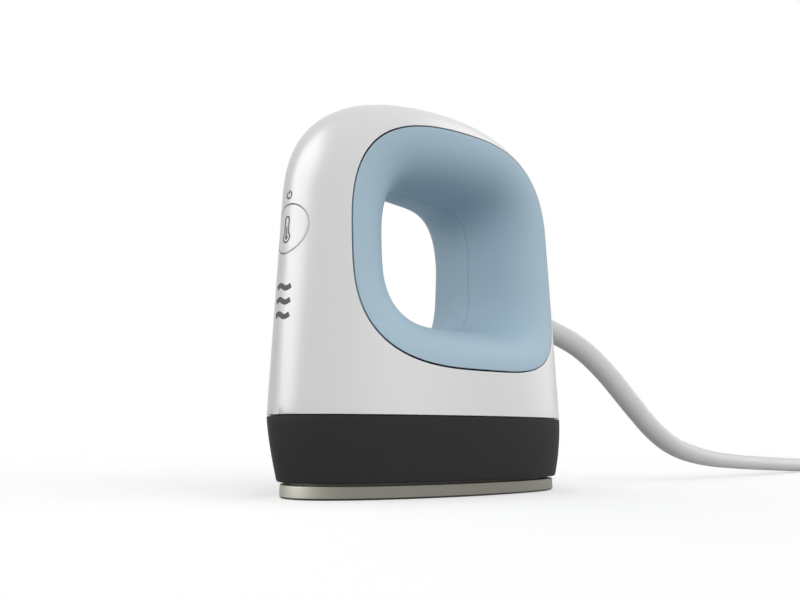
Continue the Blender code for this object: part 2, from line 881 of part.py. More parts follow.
def build_heating():
    element = made_mesh(tube("heating_element", element_path(), element_radius, sheath_metal, 1))
    element.data.materials.clear()
    element.data.materials.append(sheath_metal)
    for name, y, radius, length, finish in (
            ("thermal_fuse", fuse_place, fuse_radius, fuse_length, sheet_steel),
            ("thermistor", thermistor_place, thermistor_radius, thermistor_length, ceramic)):
        height = sensor_height(radius)
        rod(name, (-length / 2, y, height), (length / 2, y, height), radius, finish, sides=12)
        build_clip(name + "_clip", y, height, radius)
    pad_edge = pad_top - pad_bottom
    pad = lofted("insulation_pad", [plate_level(pad_inset, pad_bottom), plate_level(pad_inset, pad_bottom + pad_edge)],
                 felt, inner_columns)
    shield = lofted("heat_shield", [plate_level(shield_inset, shield_top - shield_flange - shield_sheet),
                                    plate_level(shield_inset, shield_top - plate_fillet),
                                    plate_level(shield_inset + plate_fillet, shield_top)], sheet_steel,
                    inner_columns)
    inside = shield_inset + shield_sheet
    cut(shield, lofted("shield_inside", [plate_level(inside, pad_bottom - overrun),
                                         plate_level(inside, shield_bottom)], sheet_steel, inner_columns))
    holes = [(name, x, y, standoff_radius) for name, (x, y) in plate_screws.items()]
    holes += [("end_" + name, *element_end(side), element_radius) for name, side in (("left", -1), ("right", 1))]
    for name, x, y, radius in holes:
        for sheet in (pad, shield):
            cut(sheet, rod(sheet.name + "_hole_" + name, (x, y, pad_bottom - overrun), (x, y, shield_top + overrun),
                           radius + screw_clearance, felt, sides=14))
    for name, (x, y) in plate_screws.items():
        sleeve = rod("standoff_" + name, (x, y, boss_top + fit_gap), (x, y, deck_bottom - fit_gap),
                     standoff_radius, ceramic, sides=14)
        cut(sleeve, rod("standoff_bore_" + name, (x, y, boss_top - overrun), (x, y, deck_bottom + overrun),
                        bore_radius, ceramic, sides=12))
        length = deck_top + fit_gap - plate_bore_floor - fit_gap
        screw("plate_screw_" + name, (x, y, deck_top + fit_gap), (0, 0, 1), screw_radius, screw_head_radius,
              screw_head_height, length)


def build_clip(name, y, height, radius):
    """A strap over a sensor: an arch with a foot on each side, resting on the plate."""
    inner = radius + fit_gap
    outer = inner + clip_sheet
    base = plate_top + fit_gap
    half = clip_width / 2
    clip = rod(name, (-half, y, height), (half, y, height), outer, sheet_steel, sides=20)
    join(clip, box(name + "_feet", (-half, y - outer - clip_foot, base),
                   (half, y + outer + clip_foot, base + clip_sheet), sheet_steel))
    cut(clip, rod(name + "_arch", (-half - overrun, y, height), (half + overrun, y, height), inner,
                  sheet_steel, sides=20))
    cut(clip, box(name + "_under", (-clip_width, y - outer, plate_top - spare_reach),
                  (clip_width, y + outer, base), sheet_steel))
    return clip


def nose_skin(name, sink, wall, reach):
    """A layer of the nose's form behind the button, sunk from its surface."""
    low = button_height - button_below - reach
    high = button_height + button_above + reach
    far = 0.30

    def place(across, up):
        height = low + (high - low) * up
        front, back = nose_edge(height), rear_edge(height)
        share = far * (2 * across - 1) ** 2
        side = 1 if across >= 0.5 else -1
        return Vector((side * outline_half(share, widest_half(height)), front + (back - front) * share, height))
    skin = mapped_grid(name, 20, 5, place, white_plastic, closed=False)
    if sink:
        shift = skin.modifiers.new("sunk", "DISPLACE")
        shift.strength = -sink
        shift.mid_level = 0
    return thickened(skin, wall, -1)


def build_button():
    nose = nose_edge(button_height)
    flange_sink = shell_wall + fit_gap
    cap = nose_skin("mode_button", 0, flange_sink + button_flange, overrun)
    behind = nose + button_half_width
    boolean(cap, "INTERSECT", button_prism("button_outline", 0, nose - overrun, behind))
    flange = nose_skin("button_flange", flange_sink, button_flange, overrun)
    boolean(flange, "INTERSECT", button_prism("flange_outline", button_flange_reach, nose - overrun, behind))
    join(cap, flange)
    back = nose + flange_sink + button_flange
    join(cap, rod("button_stem", (0, back - button_flange / 2, button_height), (0, back + button_stem, button_height),
                  button_stem_radius, white_plastic, sides=12))
    plunger_front = back + button_stem + fit_gap
    switch_front = plunger_front + plunger_proud
    plunger_back = switch_front + plunger_sunk
    bore_back = plunger_back + button_travel + fit_gap
    half = switch_width / 2
    switch = box("tact_switch_body", (-half, switch_front, button_height - half),
                 (half, control_front - fit_gap, button_height + half), dark_part, small_bevel)
    cut(switch, rod("switch_bore", (0, switch_front - overrun, button_height), (0, bore_back, button_height),
                    plunger_radius + fit_gap, dark_part))
    rod("tact_switch_plunger", (0, plunger_front, button_height), (0, plunger_back, button_height),
        plunger_radius, white_plastic, sides=12)


def build_control_board():
    half = control_board_width / 2
    board = box("control_board", (-half, control_front, control_board_bottom),
                (half, control_back, control_board_top), green_board)
    for name, height in (("low", control_boss_low), ("high", control_boss_high)):
        cut(board, rod("control_hole_" + name, (0, control_front - overrun, height),
                       (0, control_back + overrun, height), small_screw_radius + screw_clearance, green_board,
                       sides=12))
        screw("control_screw_" + name, (0, control_back + fit_gap, height), (0, 1, 0), small_screw_radius,
              small_screw_head_radius, small_screw_head_height, small_screw_length)
    led_back = control_front - fit_gap
    led_front = led_back - led_depth
    lights = list(zip(("low", "mid", "high"), heat_light_heights))
    for name, height in (*((("heat_" + name), height) for name, height in lights), ("power", power_light_height)):
        box(name + "_led", (-led_width / 2, led_front, height - led_height / 2),
            (led_width / 2, led_back, height + led_height / 2), clear_plastic)
    guide_back = led_front - fit_gap
    middle = (nose_edge(heat_light_heights[1]) + shell_wall + guide_back) / 2
    reach = guide_radius - guide_plate_inset
    guide = box("heat_light_guide", (-guide_plate_width / 2, middle, heat_light_heights[0] - reach),
                (guide_plate_width / 2, middle + guide_plate_thickness, heat_light_heights[-1] + reach),
                clear_plastic)
    for name, height in lights:
        front = nose_edge(height) + shell_wall + fit_gap
        join(guide, rod("prong_" + name, (0, front, height), (0, guide_back, height), guide_radius,
                        clear_plastic, sides=12))
    front = nose_edge(power_light_height) + shell_wall + fit_gap
    rod("power_light_guide", (0, front, power_light_height), (0, guide_back, power_light_height),
        power_guide_radius, clear_plastic, sides=12)


def on_board(name, place, size, finish, bevel=0.0):
    x, y = place
    wide, deep, high = size
    return box(name, (x - wide / 2, y - deep / 2, part_seat), (x + wide / 2, y + deep / 2, part_seat + high),
               finish, bevel)


def build_power_board():
    half = board_width / 2
    board = box("power_board", (-half, board_front, board_bottom), (half, board_back, board_top), green_board)
    for name, (x, y) in board_screws.items():
        cut(board, rod("board_hole_" + name, (x, y, board_bottom - overrun), (x, y, board_top + overrun),
                       small_screw_radius + screw_clearance, green_board, sides=12))
        screw("board_screw_" + name, (x, y, board_top + fit_gap), (0, 0, 1), small_screw_radius,
              small_screw_head_radius, small_screw_head_height, small_screw_length)
    on_board("film_capacitor", capacitor_place, capacitor_size, yellow_film, small_bevel)
    x, y = electrolytic_place
    rod("electrolytic_capacitor", (x, y, part_seat), (x, y, part_seat + electrolytic_height), electrolytic_radius,
        blue_part)
    on_board("triac", triac_place, triac_size, dark_part, small_bevel)
    x, y = triac_place
    back = y + triac_size[1] / 2 + fit_gap
    wide, thick, high = sink_size
    sink = box("heat_sink", (x - wide / 2, back, part_seat), (x + wide / 2, back + thick, part_seat + high),
               sheet_steel)
    pitch = (wide - sink_fin_thickness) / (sink_fins - 1)
    for index in range(sink_fins):
        left = x - wide / 2 + pitch * index
        join(sink, box("fin_{}".format(index), (left, back + thick / 2, part_seat),
                       (left + sink_fin_thickness, back + thick + sink_fin, part_seat + high), sheet_steel))
    x, y = varistor_place
    rod("varistor", (x, y - varistor_thickness / 2, part_seat + varistor_radius),
        (x, y + varistor_thickness / 2, part_seat + varistor_radius), varistor_radius, blue_part)
    block = on_board("terminal_block", terminal_place, terminal_size, dark_part)
    x, y = terminal_place
    height = part_seat + terminal_size[2] / 2
    for side in (-1, 1):
        mouth = y + terminal_size[1] / 2
        cut(block, rod("mains_mouth_{}".format(side), (side * mains_lead_spread * 2, y, height),
                       (side * mains_lead_spread * 2, mouth + overrun, height), terminal_wire_radius, dark_part,
                       sides=12))
        flank = side * terminal_size[0] / 2
        cut(block, rod("heater_mouth_{}".format(side), (flank * 0.6, y, height), (flank + side * overrun, y, height),
                       terminal_wire_radius, dark_part, sides=12))


def build_leads():
    x, y = terminal_place
    height = part_seat + terminal_size[2] / 2
    mouth = y + terminal_size[1] / 2
    sunk = terminal_wire_radius
    start = rear_edge(cord_height) - shell_wall - fit_gap - boot_collar - fit_gap
    room = (start + mouth) / 2
    for name, side in (("live", -1), ("neutral", 1)):
        near = side * mains_lead_spread
        far = side * mains_lead_spread * 2
        route = ((near, start, cord_height), (near, start - lead_radius * 2, cord_height),
                 (near, room, cord_height - boot_collar_radius),
                 (far, room, (cord_height + height) / 2), (far, room - lead_radius, height + boot_collar_radius),
                 (far, mouth + lead_radius * 2, height), (far, mouth - sunk, height))
        tube("mains_lead_" + name, smooth_line(route, lead_radius * 2), lead_radius, lead_cover, 1)
    for name, side in (("left", -1), ("right", 1)):
        ex, ey = element_end(side)
        flank = side * terminal_size[0] / 2
        outer = side * (board_width / 2 + lead_radius * 2)
        route = ((ex, ey, element_leg_rise + fit_gap), (ex, ey, deck_bottom), (ex, ey, deck_top + lead_radius),
                 (outer, (ey + y) / 2, board_top + lead_radius), (flank + side * lead_radius * 3, y, height),
                 (flank - side * sunk, y, height))
        tube("heater_lead_" + name, smooth_line(route, lead_radius * 3), lead_radius, lead_cover, 1)
    low = control_board_bottom + cable_radius + fit_gap
    over = max(low, board_top + cable_radius * 3)
    across = (control_back + board_front) / 2
    route = ((0, control_back + fit_gap, low), (0, control_back + cable_radius * 2, low),
             (0, across, over + cable_radius), (0, board_front, over),
             (0, board_front + cable_radius * 2, board_top + cable_radius * 3),
             (0, board_front + cable_radius * 2, board_top + fit_gap))
    tube("board_cable", smooth_line(route, cable_radius * 1.5), cable_radius, lead_cover, 1)


# The cord

def eased(share):
    share = min(max(share, 0), 1)
    return share * share * (3 - 2 * share)


def hank_point(turn):
    """A point on the hank, whose clockwise loops spiral in and out and climb a layer at each reversal."""
    reversals = [hank_layer_turns * layer for layer in range(1, hank_layers)]
    radius = hank_inner + hank_pitch * min(abs(turn - inner) for inner in reversals[::2])
    half_run = hank_run_share / 2
    share = turn % (1 / 2)
    side = 1 if turn % 1 < 1 / 2 else -1
    if share < half_run:
        across, along = -radius, hank_run * share / half_run
    elif share > 1 / 2 - half_run:
        across, along = radius, hank_run * (1 / 2 - share) / half_run
    else:
        angle = pi * (share - half_run) / (1 / 2 - hank_run_share)
        across, along = -radius * cos(angle), hank_run + radius * sin(angle)
    if along < hank_run:
        narrower = hank_dip * cos(pi / 2 * along / hank_run) ** 2
        across *= 1 - narrower / radius
    layer = sum(eased((turn - reversal + half_run) / hank_run_share) for reversal in reversals)
    x, y = hank_place
    return Vector((x + side * across, y + side * along, hank_base + hank_layer_rise * layer))


def hank_path():
    """The hank's loops, with a straight end at the start and a tail that comes down to the plug."""
    count = ceil((hank_last - hank_first) * hank_loop_points)
    loops = [hank_point(hank_first + (hank_last - hank_first) * step / count) for step in range(count + 1)]
    straight = Vector((0, 2 * cord_radius, 0))
    leave = loops[-1] - Vector((0, hank_tail_level, 0))
    way = Vector((plug_place - leave.x, -hank_tail, plug_half_height - leave.z))
    tail = [leave + Vector((way.x * eased(share), way.y * share, way.z * eased(share)))
            for share in (step / hank_tail_steps for step in range(1, hank_tail_steps + 1))]
    return [loops[0] - straight, *loops, leave, *tail, tail[-1] - straight]


def least_gap(points):
    """The least clear gap between loops of the hank that are not neighbours along it."""
    apart = hank_loop_points // 2
    nearest = min((points[i] - points[j]).length for i in range(len(points))
                  for j in range(i + apart, len(points)))
    return nearest - 2 * cord_radius


def build_cord():
    hank = hank_path()
    start = Vector((0, 1, 0))
    meet = hank[0] - start * fit_gap
    route = [*cord_route, meet - start * cord_step, meet]
    line = smooth_line(route, cord_step / 4)
    split = round(boot_length / line_length(line) * (len(line) - 1))
    wall = rear_edge(cord_height)
    inside = wall - shell_wall - fit_gap - boot_collar
    boot_line = [Vector((0, inside, cord_height)), Vector((0, wall - shell_wall, cord_height)),
                 Vector((0, wall, cord_height))]
    boot_line += [point for point in line[1:split + 1:2] if point.y > wall + fit_gap]
    ahead = (line[split + 1] - line[split - 1]).normalized()
    boot_line[-2:] = [line[split] - ahead * cord_end_step, line[split]]
    radii = [boot_neck_radius] * 3
    outer = len(boot_line) - 3
    for index in range(outer):
        share = index / (outer - 1)
        radii.append(boot_root_radius + (boot_tip_radius - boot_root_radius) * share ** 2)
    boot = made_mesh(tube("cord_boot", boot_line, boot_root_radius, white_cord, 3, radii))
    join(boot, rod("boot_collar", (0, inside, cord_height), (0, inside + boot_collar, cord_height),
                   boot_collar_radius, white_cord, sides=20))
    free = smooth_line(line[split:], cord_step)
    free[:1] = [line[split] + ahead * fit_gap, line[split] + ahead * cord_end_step]
    tube("power_cord", free, cord_radius, white_cord, 2)
    tube("cord_hank", hank, cord_radius, white_cord, 1)
    build_plug(hank[-1] - start * fit_gap, -start)
    build_tie(hank)
    total = line_length(line) + line_length(hank)
    print("cord from wall to plug {:.4f} m, hank {:.4f} m".format(total, line_length(hank)))
    print("least gap between the hank's loops {:.2f} mm".format(least_gap(hank) * 1000))


def build_tie(hank):
    """A flat band round the hank's waist."""
    x, y = hank_place
    half = tie_width / 2
    waist = [point for point in hank if abs(point.y - y) < tie_width]
    room = cord_radius + fit_gap
    inner_low = (min(point.x for point in waist) - room, y - half, min(point.z for point in waist) - room)
    inner_high = (max(point.x for point in waist) + room, y + half, max(point.z for point in waist) + room)
    grow = (tie_sheet, 0, tie_sheet)
    band = box("cord_tie", [value - more for value, more in zip(inner_low, grow)],
               [value + more for value, more in zip(inner_high, grow)], black_plastic)
    hole = box("tie_hole", (inner_low[0], y - half - overrun, inner_low[2]),
               (inner_high[0], y + half + overrun, inner_high[2]), black_plastic)
    return cut(band, hole)


def build_plug(place, heading):
    """A flat two-blade plug that lies on the table before the hank."""
    height = plug_half_height
    frame = Matrix.Translation((place.x, place.y, 0)) @ heading.to_track_quat("Y", "Z").to_matrix().to_4x4()
    half = plug_width / 2
    back = plug_nose
    front = plug_nose + plug_length
    body = box("plug_body", (-half, back, 0), (half, front, 2 * height), white_cord, plug_bevel)
    nose = rod("plug_nose", (0, 0, height), (0, back + plug_bevel, height), cord_radius + tie_sheet, white_cord,
               end_radius=height * 0.7)
    join(body, nose)
    pieces = [body, nose]
    for name, side in (("left", -1), ("right", 1)):
        x = side * blade_spread / 2
        low = (x - blade_thickness / 2, front - blade_seat, height - blade_width / 2)
        high = (x + blade_thickness / 2, front + blade_length, height + blade_width / 2)
        blade = box("plug_blade_" + name, low, high, brass)
        hole = rod("blade_hole_" + name, (x - blade_thickness, front + blade_length - blade_hole_back, height),
                   (x + blade_thickness, front + blade_length - blade_hole_back, height), blade_hole_radius, brass,
                   sides=12)
        cut(blade, hole)
        pocket = box("blade_pocket_" + name, [value - fit_gap for value in low],
                     (high[0] + fit_gap, front + overrun, high[2] + fit_gap), white_cord)
        cut(body, pocket)
        pieces += [blade, hole, pocket]
    for piece in pieces:
        piece.matrix_world = frame


build_shell()
build_grips()
build_skirt()
build_plate()
build_heating()
build_button()
build_control_board()
build_power_board()
build_leads()
build_cord()
nodes = collection.objects
for item in nodes:
    if item.type == "MESH":
        item.data.shade_smooth()
        item.data.set_sharp_from_angle(angle=0.6)
print("pieces:", len(nodes))
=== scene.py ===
# %% [markdown]
# # A mini heat press, dressed for a picture
#
# A small iron for crafts stands on its metal sole. A white shell wraps round a finger opening
# that two pale blue grips line. Below the seam sits a black skirt, then the sole. A cord
# leaves the rear through a long tapered boot.
#
# The engineering model comes first and gives every place and size. Each visible piece is
# then built again here as a finer mesh in the same place, with its own finish.

# %% Load the frame
import json
from itertools import accumulate
from math import atan2, ceil, cos, hypot, pi, radians, sin

import bmesh
import bpy
from mathutils import Matrix, Quaternion, Vector


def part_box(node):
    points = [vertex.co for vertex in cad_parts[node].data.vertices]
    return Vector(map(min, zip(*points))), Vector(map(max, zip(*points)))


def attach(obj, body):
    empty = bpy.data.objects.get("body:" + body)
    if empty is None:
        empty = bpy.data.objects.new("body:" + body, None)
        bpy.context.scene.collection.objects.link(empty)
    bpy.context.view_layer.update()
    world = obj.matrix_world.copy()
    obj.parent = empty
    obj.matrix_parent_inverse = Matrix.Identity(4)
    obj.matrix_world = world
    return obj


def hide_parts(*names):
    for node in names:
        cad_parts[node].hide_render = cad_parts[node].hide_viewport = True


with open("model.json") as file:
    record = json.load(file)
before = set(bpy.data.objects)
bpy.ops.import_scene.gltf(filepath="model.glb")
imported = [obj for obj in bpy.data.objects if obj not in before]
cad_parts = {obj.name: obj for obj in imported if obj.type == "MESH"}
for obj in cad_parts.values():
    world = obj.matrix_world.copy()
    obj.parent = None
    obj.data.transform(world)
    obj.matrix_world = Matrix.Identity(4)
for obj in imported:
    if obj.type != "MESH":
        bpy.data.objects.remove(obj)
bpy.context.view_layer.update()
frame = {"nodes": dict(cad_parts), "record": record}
nodes = frame["nodes"]
scene = bpy.context.scene

# %% [markdown]
# ## The camera
#
# The picture was taken from low down and close by, so the near edges look large and the
# press seems to lean back. A camera that stands at the same place and tips up by the same
# angle gives the same lines, with no shift of its lens.

# %% Place the camera
camera_azimuth = radians(47.13)
camera_distance = 0.2157
camera_aside = -0.00327
camera_height = 0.01465
camera_tip = radians(10.43)
camera_near = 0.01
aim_ahead = 0.0015
camera_lens = 33.75


def placed(name, data):
    """An object that holds some data, linked to the scene."""
    holder = bpy.data.objects.new(name, data)
    scene.collection.objects.link(holder)
    return holder


away = Vector((sin(camera_azimuth), -cos(camera_azimuth), 0))
aside = Vector((cos(camera_azimuth), sin(camera_azimuth), 0))
camera_data = bpy.data.cameras.new("studio_camera")
camera_data.lens = camera_lens
camera_data.clip_start = camera_near
camera = placed("studio_camera", camera_data)
camera.location = away * camera_distance + aside * camera_aside + Vector((0, aim_ahead, camera_height))
camera.rotation_euler = (pi / 2 + camera_tip, 0, camera_azimuth)
bpy.context.scene.camera = camera
print("camera at", camera.location)

# %% [markdown]
# ## Pieces from a sheet
#
# Nearly every piece of this press is one smooth form, so each starts as a flat grid whose
# corners are then moved onto the form. A grid keeps its rows and columns even, which is
# what a glossy surface needs. Where the grid's edges meet, its doubles are merged.

# %% A grid laid on a form
weld = 0.000004


def sheet_on_form(columns, rows, place):
    """A bmesh grid whose corner at column i and row j moves to place(i, j)."""
    sheet = bmesh.new()
    bmesh.ops.create_grid(sheet, x_segments=columns, y_segments=rows, size=1)
    for corner in sheet.verts:
        i = round((corner.co.x + 1) / 2 * columns)
        j = round((corner.co.y + 1) / 2 * rows)
        corner.co = place(i, j)
    bmesh.ops.remove_doubles(sheet, verts=sheet.verts, dist=weld)
    return sheet


# %% A finished piece
crease = radians(35)
slot_of = {}


def from_sheet(name, sheet):
    """The object of a bmesh, which is then let go."""
    mesh = bpy.data.meshes.new(name)
    sheet.to_mesh(mesh)
    sheet.free()
    return placed(name, mesh)


def declared(piece, body, slot, stands_for):
    """A piece that rides on a body, with its slot and the nodes that it stands for."""
    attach(piece, body)
    if stands_for:
        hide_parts(*stands_for)
    slot_of[piece] = slot
    return piece


def finished(name, sheet, slot, *stands_for, body="housing"):
    """The mesh of a sheet as a smooth piece that rides on a body."""
    piece = from_sheet(name, sheet)
    piece.data.shade_smooth()
    piece.data.set_sharp_from_angle(angle=crease)
    print(name, "faces:", len(piece.data.polygons))
    return declared(piece, body, slot, stands_for)


def outward(sheet):
    """The sheet with its faces all turned one way: outwards, if it has no border."""
    bmesh.ops.recalc_face_normals(sheet, faces=sheet.faces)
    return sheet


def capped(sheet):
    """The sheet with a face across each open end."""
    bmesh.ops.holes_fill(sheet, edges=sheet.edges, sides=0)
    return outward(sheet)


# %% [markdown]
# ## The cord
#
# The cord is a fixed length of something springy. It leaves the rear wall level, droops in
# one easy curve and then lies on the table. What the picture doesn't show is folded into a
# hank with a tie round its waist, just outside the view, and ends in a plug. The route's
# points are the engineering model's own.

# %% The cord's route
cord_radius = 0.0027
cord_height = 0.0543
cord_step = 0.011

cord_route = [
    (0, 0.044, 0.0543), (0.0008, 0.051, 0.0539), (0.0032, 0.058, 0.0521),
    (0.0065, 0.0634, 0.0495), (0.0115, 0.07, 0.0446), (0.0164, 0.0762, 0.037),
    (0.0212, 0.0825, 0.0271), (0.025, 0.0893, 0.0182), (0.0269, 0.098, 0.0127),
    (0.0272, 0.1107, 0.0095), (0.027, 0.129, 0.0071), (0.027, 0.149, 0.0057),
    (0.027, 0.1715, 0.0046), (0.0271, 0.195, 0.0036), (0.0272, 0.212, 0.003),
    (0.0262, 0.23, 0.0029), (0.0235, 0.248, 0.0029), (0.019, 0.266, 0.003),
    (0.0135, 0.282, 0.003), (0.008, 0.297, 0.003), (0.0022, 0.313, 0.003),
    (-0.004, 0.331, 0.0031), (-0.0105, 0.348, 0.0032), (-0.0175, 0.364, 0.0033),
    (-0.023, 0.377, 0.0034),
]

# %% A smooth line through points
curve_parts = 24


def kept_share(share):
    """A share held between 0 and 1."""
    return min(max(share, 0), 1)


def eased(share):
    """A share that sets off and arrives gently."""
    share = kept_share(share)
    return share * share * (3 - 2 * share)


def gaps_of(points):
    """How far apart the neighbours on a line are."""
    return [(after - before).length for before, after in zip(points, points[1:])]


def runs_of(points):
    """How far along its line each point lies."""
    return list(accumulate(gaps_of(points), initial=0))


def smooth_line(points, step):
    """Points a step apart on a smooth curve through the given ones."""
    points = [Vector(point) for point in points]
    gaps = gaps_of(points)
    slopes = [(points[1] - points[0]) / gaps[0]]
    for index in range(1, len(points) - 1):
        slopes.append((points[index + 1] - points[index - 1]) / (gaps[index] + gaps[index - 1]))
    slopes.append((points[-1] - points[-2]) / gaps[-1])
    fine = [points[0]]
    for index, gap in enumerate(gaps):
        for part in range(1, curve_parts + 1):
            share = part / curve_parts
            ease = eased(share)
            leave = share ** 3 - 2 * share ** 2 + share
            arrive = share ** 3 - share ** 2
            fine.append((1 - ease) * points[index] + ease * points[index + 1]
                        + gap * (leave * slopes[index] + arrive * slopes[index + 1]))
    runs = runs_of(fine)
    count = ceil(runs[-1] / step)
    made = []
    at = 0
    for index in range(count + 1):
        target = runs[-1] * index / count
        while at < len(fine) - 2 and runs[at + 1] < target:
            at += 1
        share = (target - runs[at]) / (runs[at + 1] - runs[at])
        made.append(fine[at].lerp(fine[at + 1], share))
    return made


# %% The hank
tie_sheet = 0.0006
clear = 0.0003
hank_place = (0.001, 0.431)
hank_run = 0.028
hank_inner = 0.0164
hank_pitch = 0.0063
hank_layers = 4
hank_layer_turns = 1.5
hank_layer_rise = 0.00585
hank_dip = 0.007
hank_run_share = 0.28
hank_loop_points = 60
hank_tail_level = 0.01
hank_tail = 0.034
hank_tail_steps = 10
hank_base = tie_sheet + clear + cord_radius
hank_first = -hank_run_share / 2
hank_last = hank_layers * hank_layer_turns - 0.5 + hank_run_share / 2
plug_place = 0.0198
plug_half_height = 0.0085


def hank_point(turn):
    """A point on the hank: clockwise loops spiral in and out and climb a layer at each reversal."""
    reversals = [hank_layer_turns * layer for layer in range(1, hank_layers)]
    radius = hank_inner + hank_pitch * min(abs(turn - inner) for inner in reversals[::2])
    half_run = hank_run_share / 2
    share = turn % 0.5
    side = 1 if turn % 1 < 0.5 else -1
    if share < half_run:
        across, along = -radius, hank_run * share / half_run
    elif share > 0.5 - half_run:
        across, along = radius, hank_run * (0.5 - share) / half_run
    else:
        angle = pi * (share - half_run) / (0.5 - hank_run_share)
        across, along = -radius * cos(angle), hank_run + radius * sin(angle)
    if along < hank_run:
        narrower = hank_dip * cos(pi / 2 * along / hank_run) ** 2
        across *= 1 - narrower / radius
    layer = sum(eased((turn - reversal + half_run) / hank_run_share) for reversal in reversals)
    x, y = hank_place
    return Vector((x + side * across, y + side * along, hank_base + hank_layer_rise * layer))


def hank_path():
    """The hank's loops, with a straight end at the start and a tail that comes down to the plug."""
    turns = hank_last - hank_first
    count = ceil(turns * hank_loop_points)
    loops = [hank_point(hank_first + turns * step / count) for step in range(count + 1)]
    straight = Vector((0, 2 * cord_radius, 0))
    leave = loops[-1] - Vector((0, hank_tail_level, 0))
    way = Vector((plug_place - leave.x, -hank_tail, plug_half_height - leave.z))
    tail = [leave + Vector((way.x * eased(share), way.y * share, way.z * eased(share)))
            for share in (step / hank_tail_steps for step in range(1, hank_tail_steps + 1))]
    return [loops[0] - straight, *loops, leave, *tail, tail[-1] - straight]


hank = hank_path()
hank_heading = Vector((0, 1, 0))
meet = hank[0] - hank_heading * clear
free_line = smooth_line([*cord_route, meet - hank_heading * cord_step, meet], cord_step / 4)
print("free cord points:", len(free_line), "hank points:", len(hank))


# %% [markdown]
# A curve with a round bevel is the natural way to make a cord, because its points stay the
# cord's real line. The boot is the same line again, thicker at the wall than at its tip. The
# cord runs inside it, and past the tip it thins down to its own size.

# %% Boot and cord
boot_length = 0.06
boot_neck_radius = 0.0033
boot_root_radius = 0.0037
boot_tip_radius = 0.00345
boot_lip = 0.0006
boot_step = 0.0012
flex_settles = 0.07
boot_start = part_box("cord_boot")[0].y
wall_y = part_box("outer_shell")[1].y


def round_tube(name, points, radii, *stands_for, roundness=6):
    """A curve through points with a round section and its own radius at each."""
    curve = bpy.data.curves.new(name, "CURVE")
    curve.dimensions = "3D"
    curve.bevel_depth = 1
    curve.bevel_resolution = roundness
    curve.use_fill_caps = True
    spline = curve.splines.new("POLY")
    spline.use_smooth = True
    spline.points.add(len(points) - 1)
    for index, point in enumerate(points):
        spline.points[index].co = (*point, 1)
        spline.points[index].radius = radii[index]
    return declared(placed(name, curve), "housing", "white_cord", stands_for)


line_run = runs_of(free_line)
tip = next(index for index, run in enumerate(line_run) if run > boot_length)
boot_line = [Vector((0, y, cord_height)) for y in (boot_start, wall_y - boot_lip, wall_y)]
boot_radii = [boot_neck_radius] * 3
dense = smooth_line(free_line[:tip + 1], boot_step)
for index, point in enumerate(dense):
    if point.y > wall_y + clear:
        share = index / (len(dense) - 1)
        boot_line.append(point)
        boot_radii.append(boot_root_radius + (boot_tip_radius - boot_root_radius) * share ** 2)
boot_radii[3] -= boot_lip / 2
boot_radii[-1] -= boot_lip / 6
cord_boot = round_tube("boot_sleeve", boot_line, boot_radii, "cord_boot", roundness=8)

cord_line = free_line + hank[1:]
swell = boot_radii[-1] - cord_radius
flex_radii = [cord_radius + swell * (1 - eased((run - boot_length) / flex_settles)) for run in line_run]
flex_radii += [cord_radius] * (len(cord_line) - len(flex_radii))
cord_flex = round_tube("mains_flex", cord_line, flex_radii, "power_cord", "cord_hank")
flex_length = runs_of(cord_line)[-1]
print("flex length {:.3f} m, boot {:.3f} m".format(flex_length, line_run[tip]))

# %% [markdown]
# ## The form of the body
#
# The body has no straight lines. Seen from above it is an egg: blunt at the rear, sharper
# at the nose. Seen from the side its edges stand nearly upright and then round off into the
# crown. One formula gives half the width at any place in the side view, and every surface
# of the shell, the grips and the nose follows from it.

# %% The egg and the crown
nose_y = -0.0444
rear_y = 0.0444
body_width = 0.0556
body_height = 0.1095
seam_height = 0.02035
crown_forward = 0.0025
nose_crown_depth = 0.0328
rear_crown_depth = 0.032
side_crown_depth = 0.0243
nose_roundness = 2.4
rear_roundness = 2.08
side_roundness = 2.73
nose_lean = 0.0425
rear_lean = 0.0123
side_lean = 0.0478
nose_power = 0.469
rear_power = 0.184
shell_wall = 0.0022
plan_middle = nose_power / (nose_power + rear_power)
plan_peak = 1 / (plan_middle ** nose_power * (1 - plan_middle) ** rear_power)


def crowned(height, start, lean, depth, roundness, middle=0):
    """An edge that leans from its start at the seam and rounds off into the crown's middle."""
    straight = start + lean * (height - seam_height)
    share = kept_share((height - body_height + depth) / depth)
    return middle + (straight - middle) * (1 - share ** roundness) ** (1 / roundness)


def nose_edge(height):
    return crowned(height, nose_y, nose_lean, nose_crown_depth, nose_roundness, -crown_forward)


def rear_edge(height):
    return crowned(height, rear_y, -rear_lean, rear_crown_depth, rear_roundness, -crown_forward)


def widest_half(height):
    return crowned(height, body_width / 2, -side_lean, side_crown_depth, side_roundness)


def outline_half(share, half):
    """Half the egg's width at a share of the way from nose to rear."""
    share = kept_share(share)
    return half * plan_peak * share ** nose_power * (1 - share) ** rear_power


def body_half(y, height):
    """Half the body's width at a place in its side view."""
    if height >= body_height:
        return 0
    front, back = nose_edge(height), rear_edge(height)
    if not front < y < back:
        return 0
    return outline_half((y - front) / (back - front), widest_half(height))


print("nose leans to", nose_edge(body_height / 2), "widest half", widest_half(seam_height))

# %% [markdown]
# ## The finger opening
#
# The opening's outer rim and its narrow waist are both rounded squares whose four corners
# differ, because the real one is fuller at the rear and low at the nose. A superellipse
# with its own power in each quarter draws them.

# %% Rim and waist
opening_y = 0.0042
opening_z = 0.06501
rim_halves = (0.0342, 0.0364, 0.035, 0.03306)
waist_halves = (0.0223, 0.0192, 0.0204, 0.01956)
rim_powers = (2.9, 3.00, 3.13, 3.44)
waist_powers = (4.2, 4.3, 3.6, 3.95)


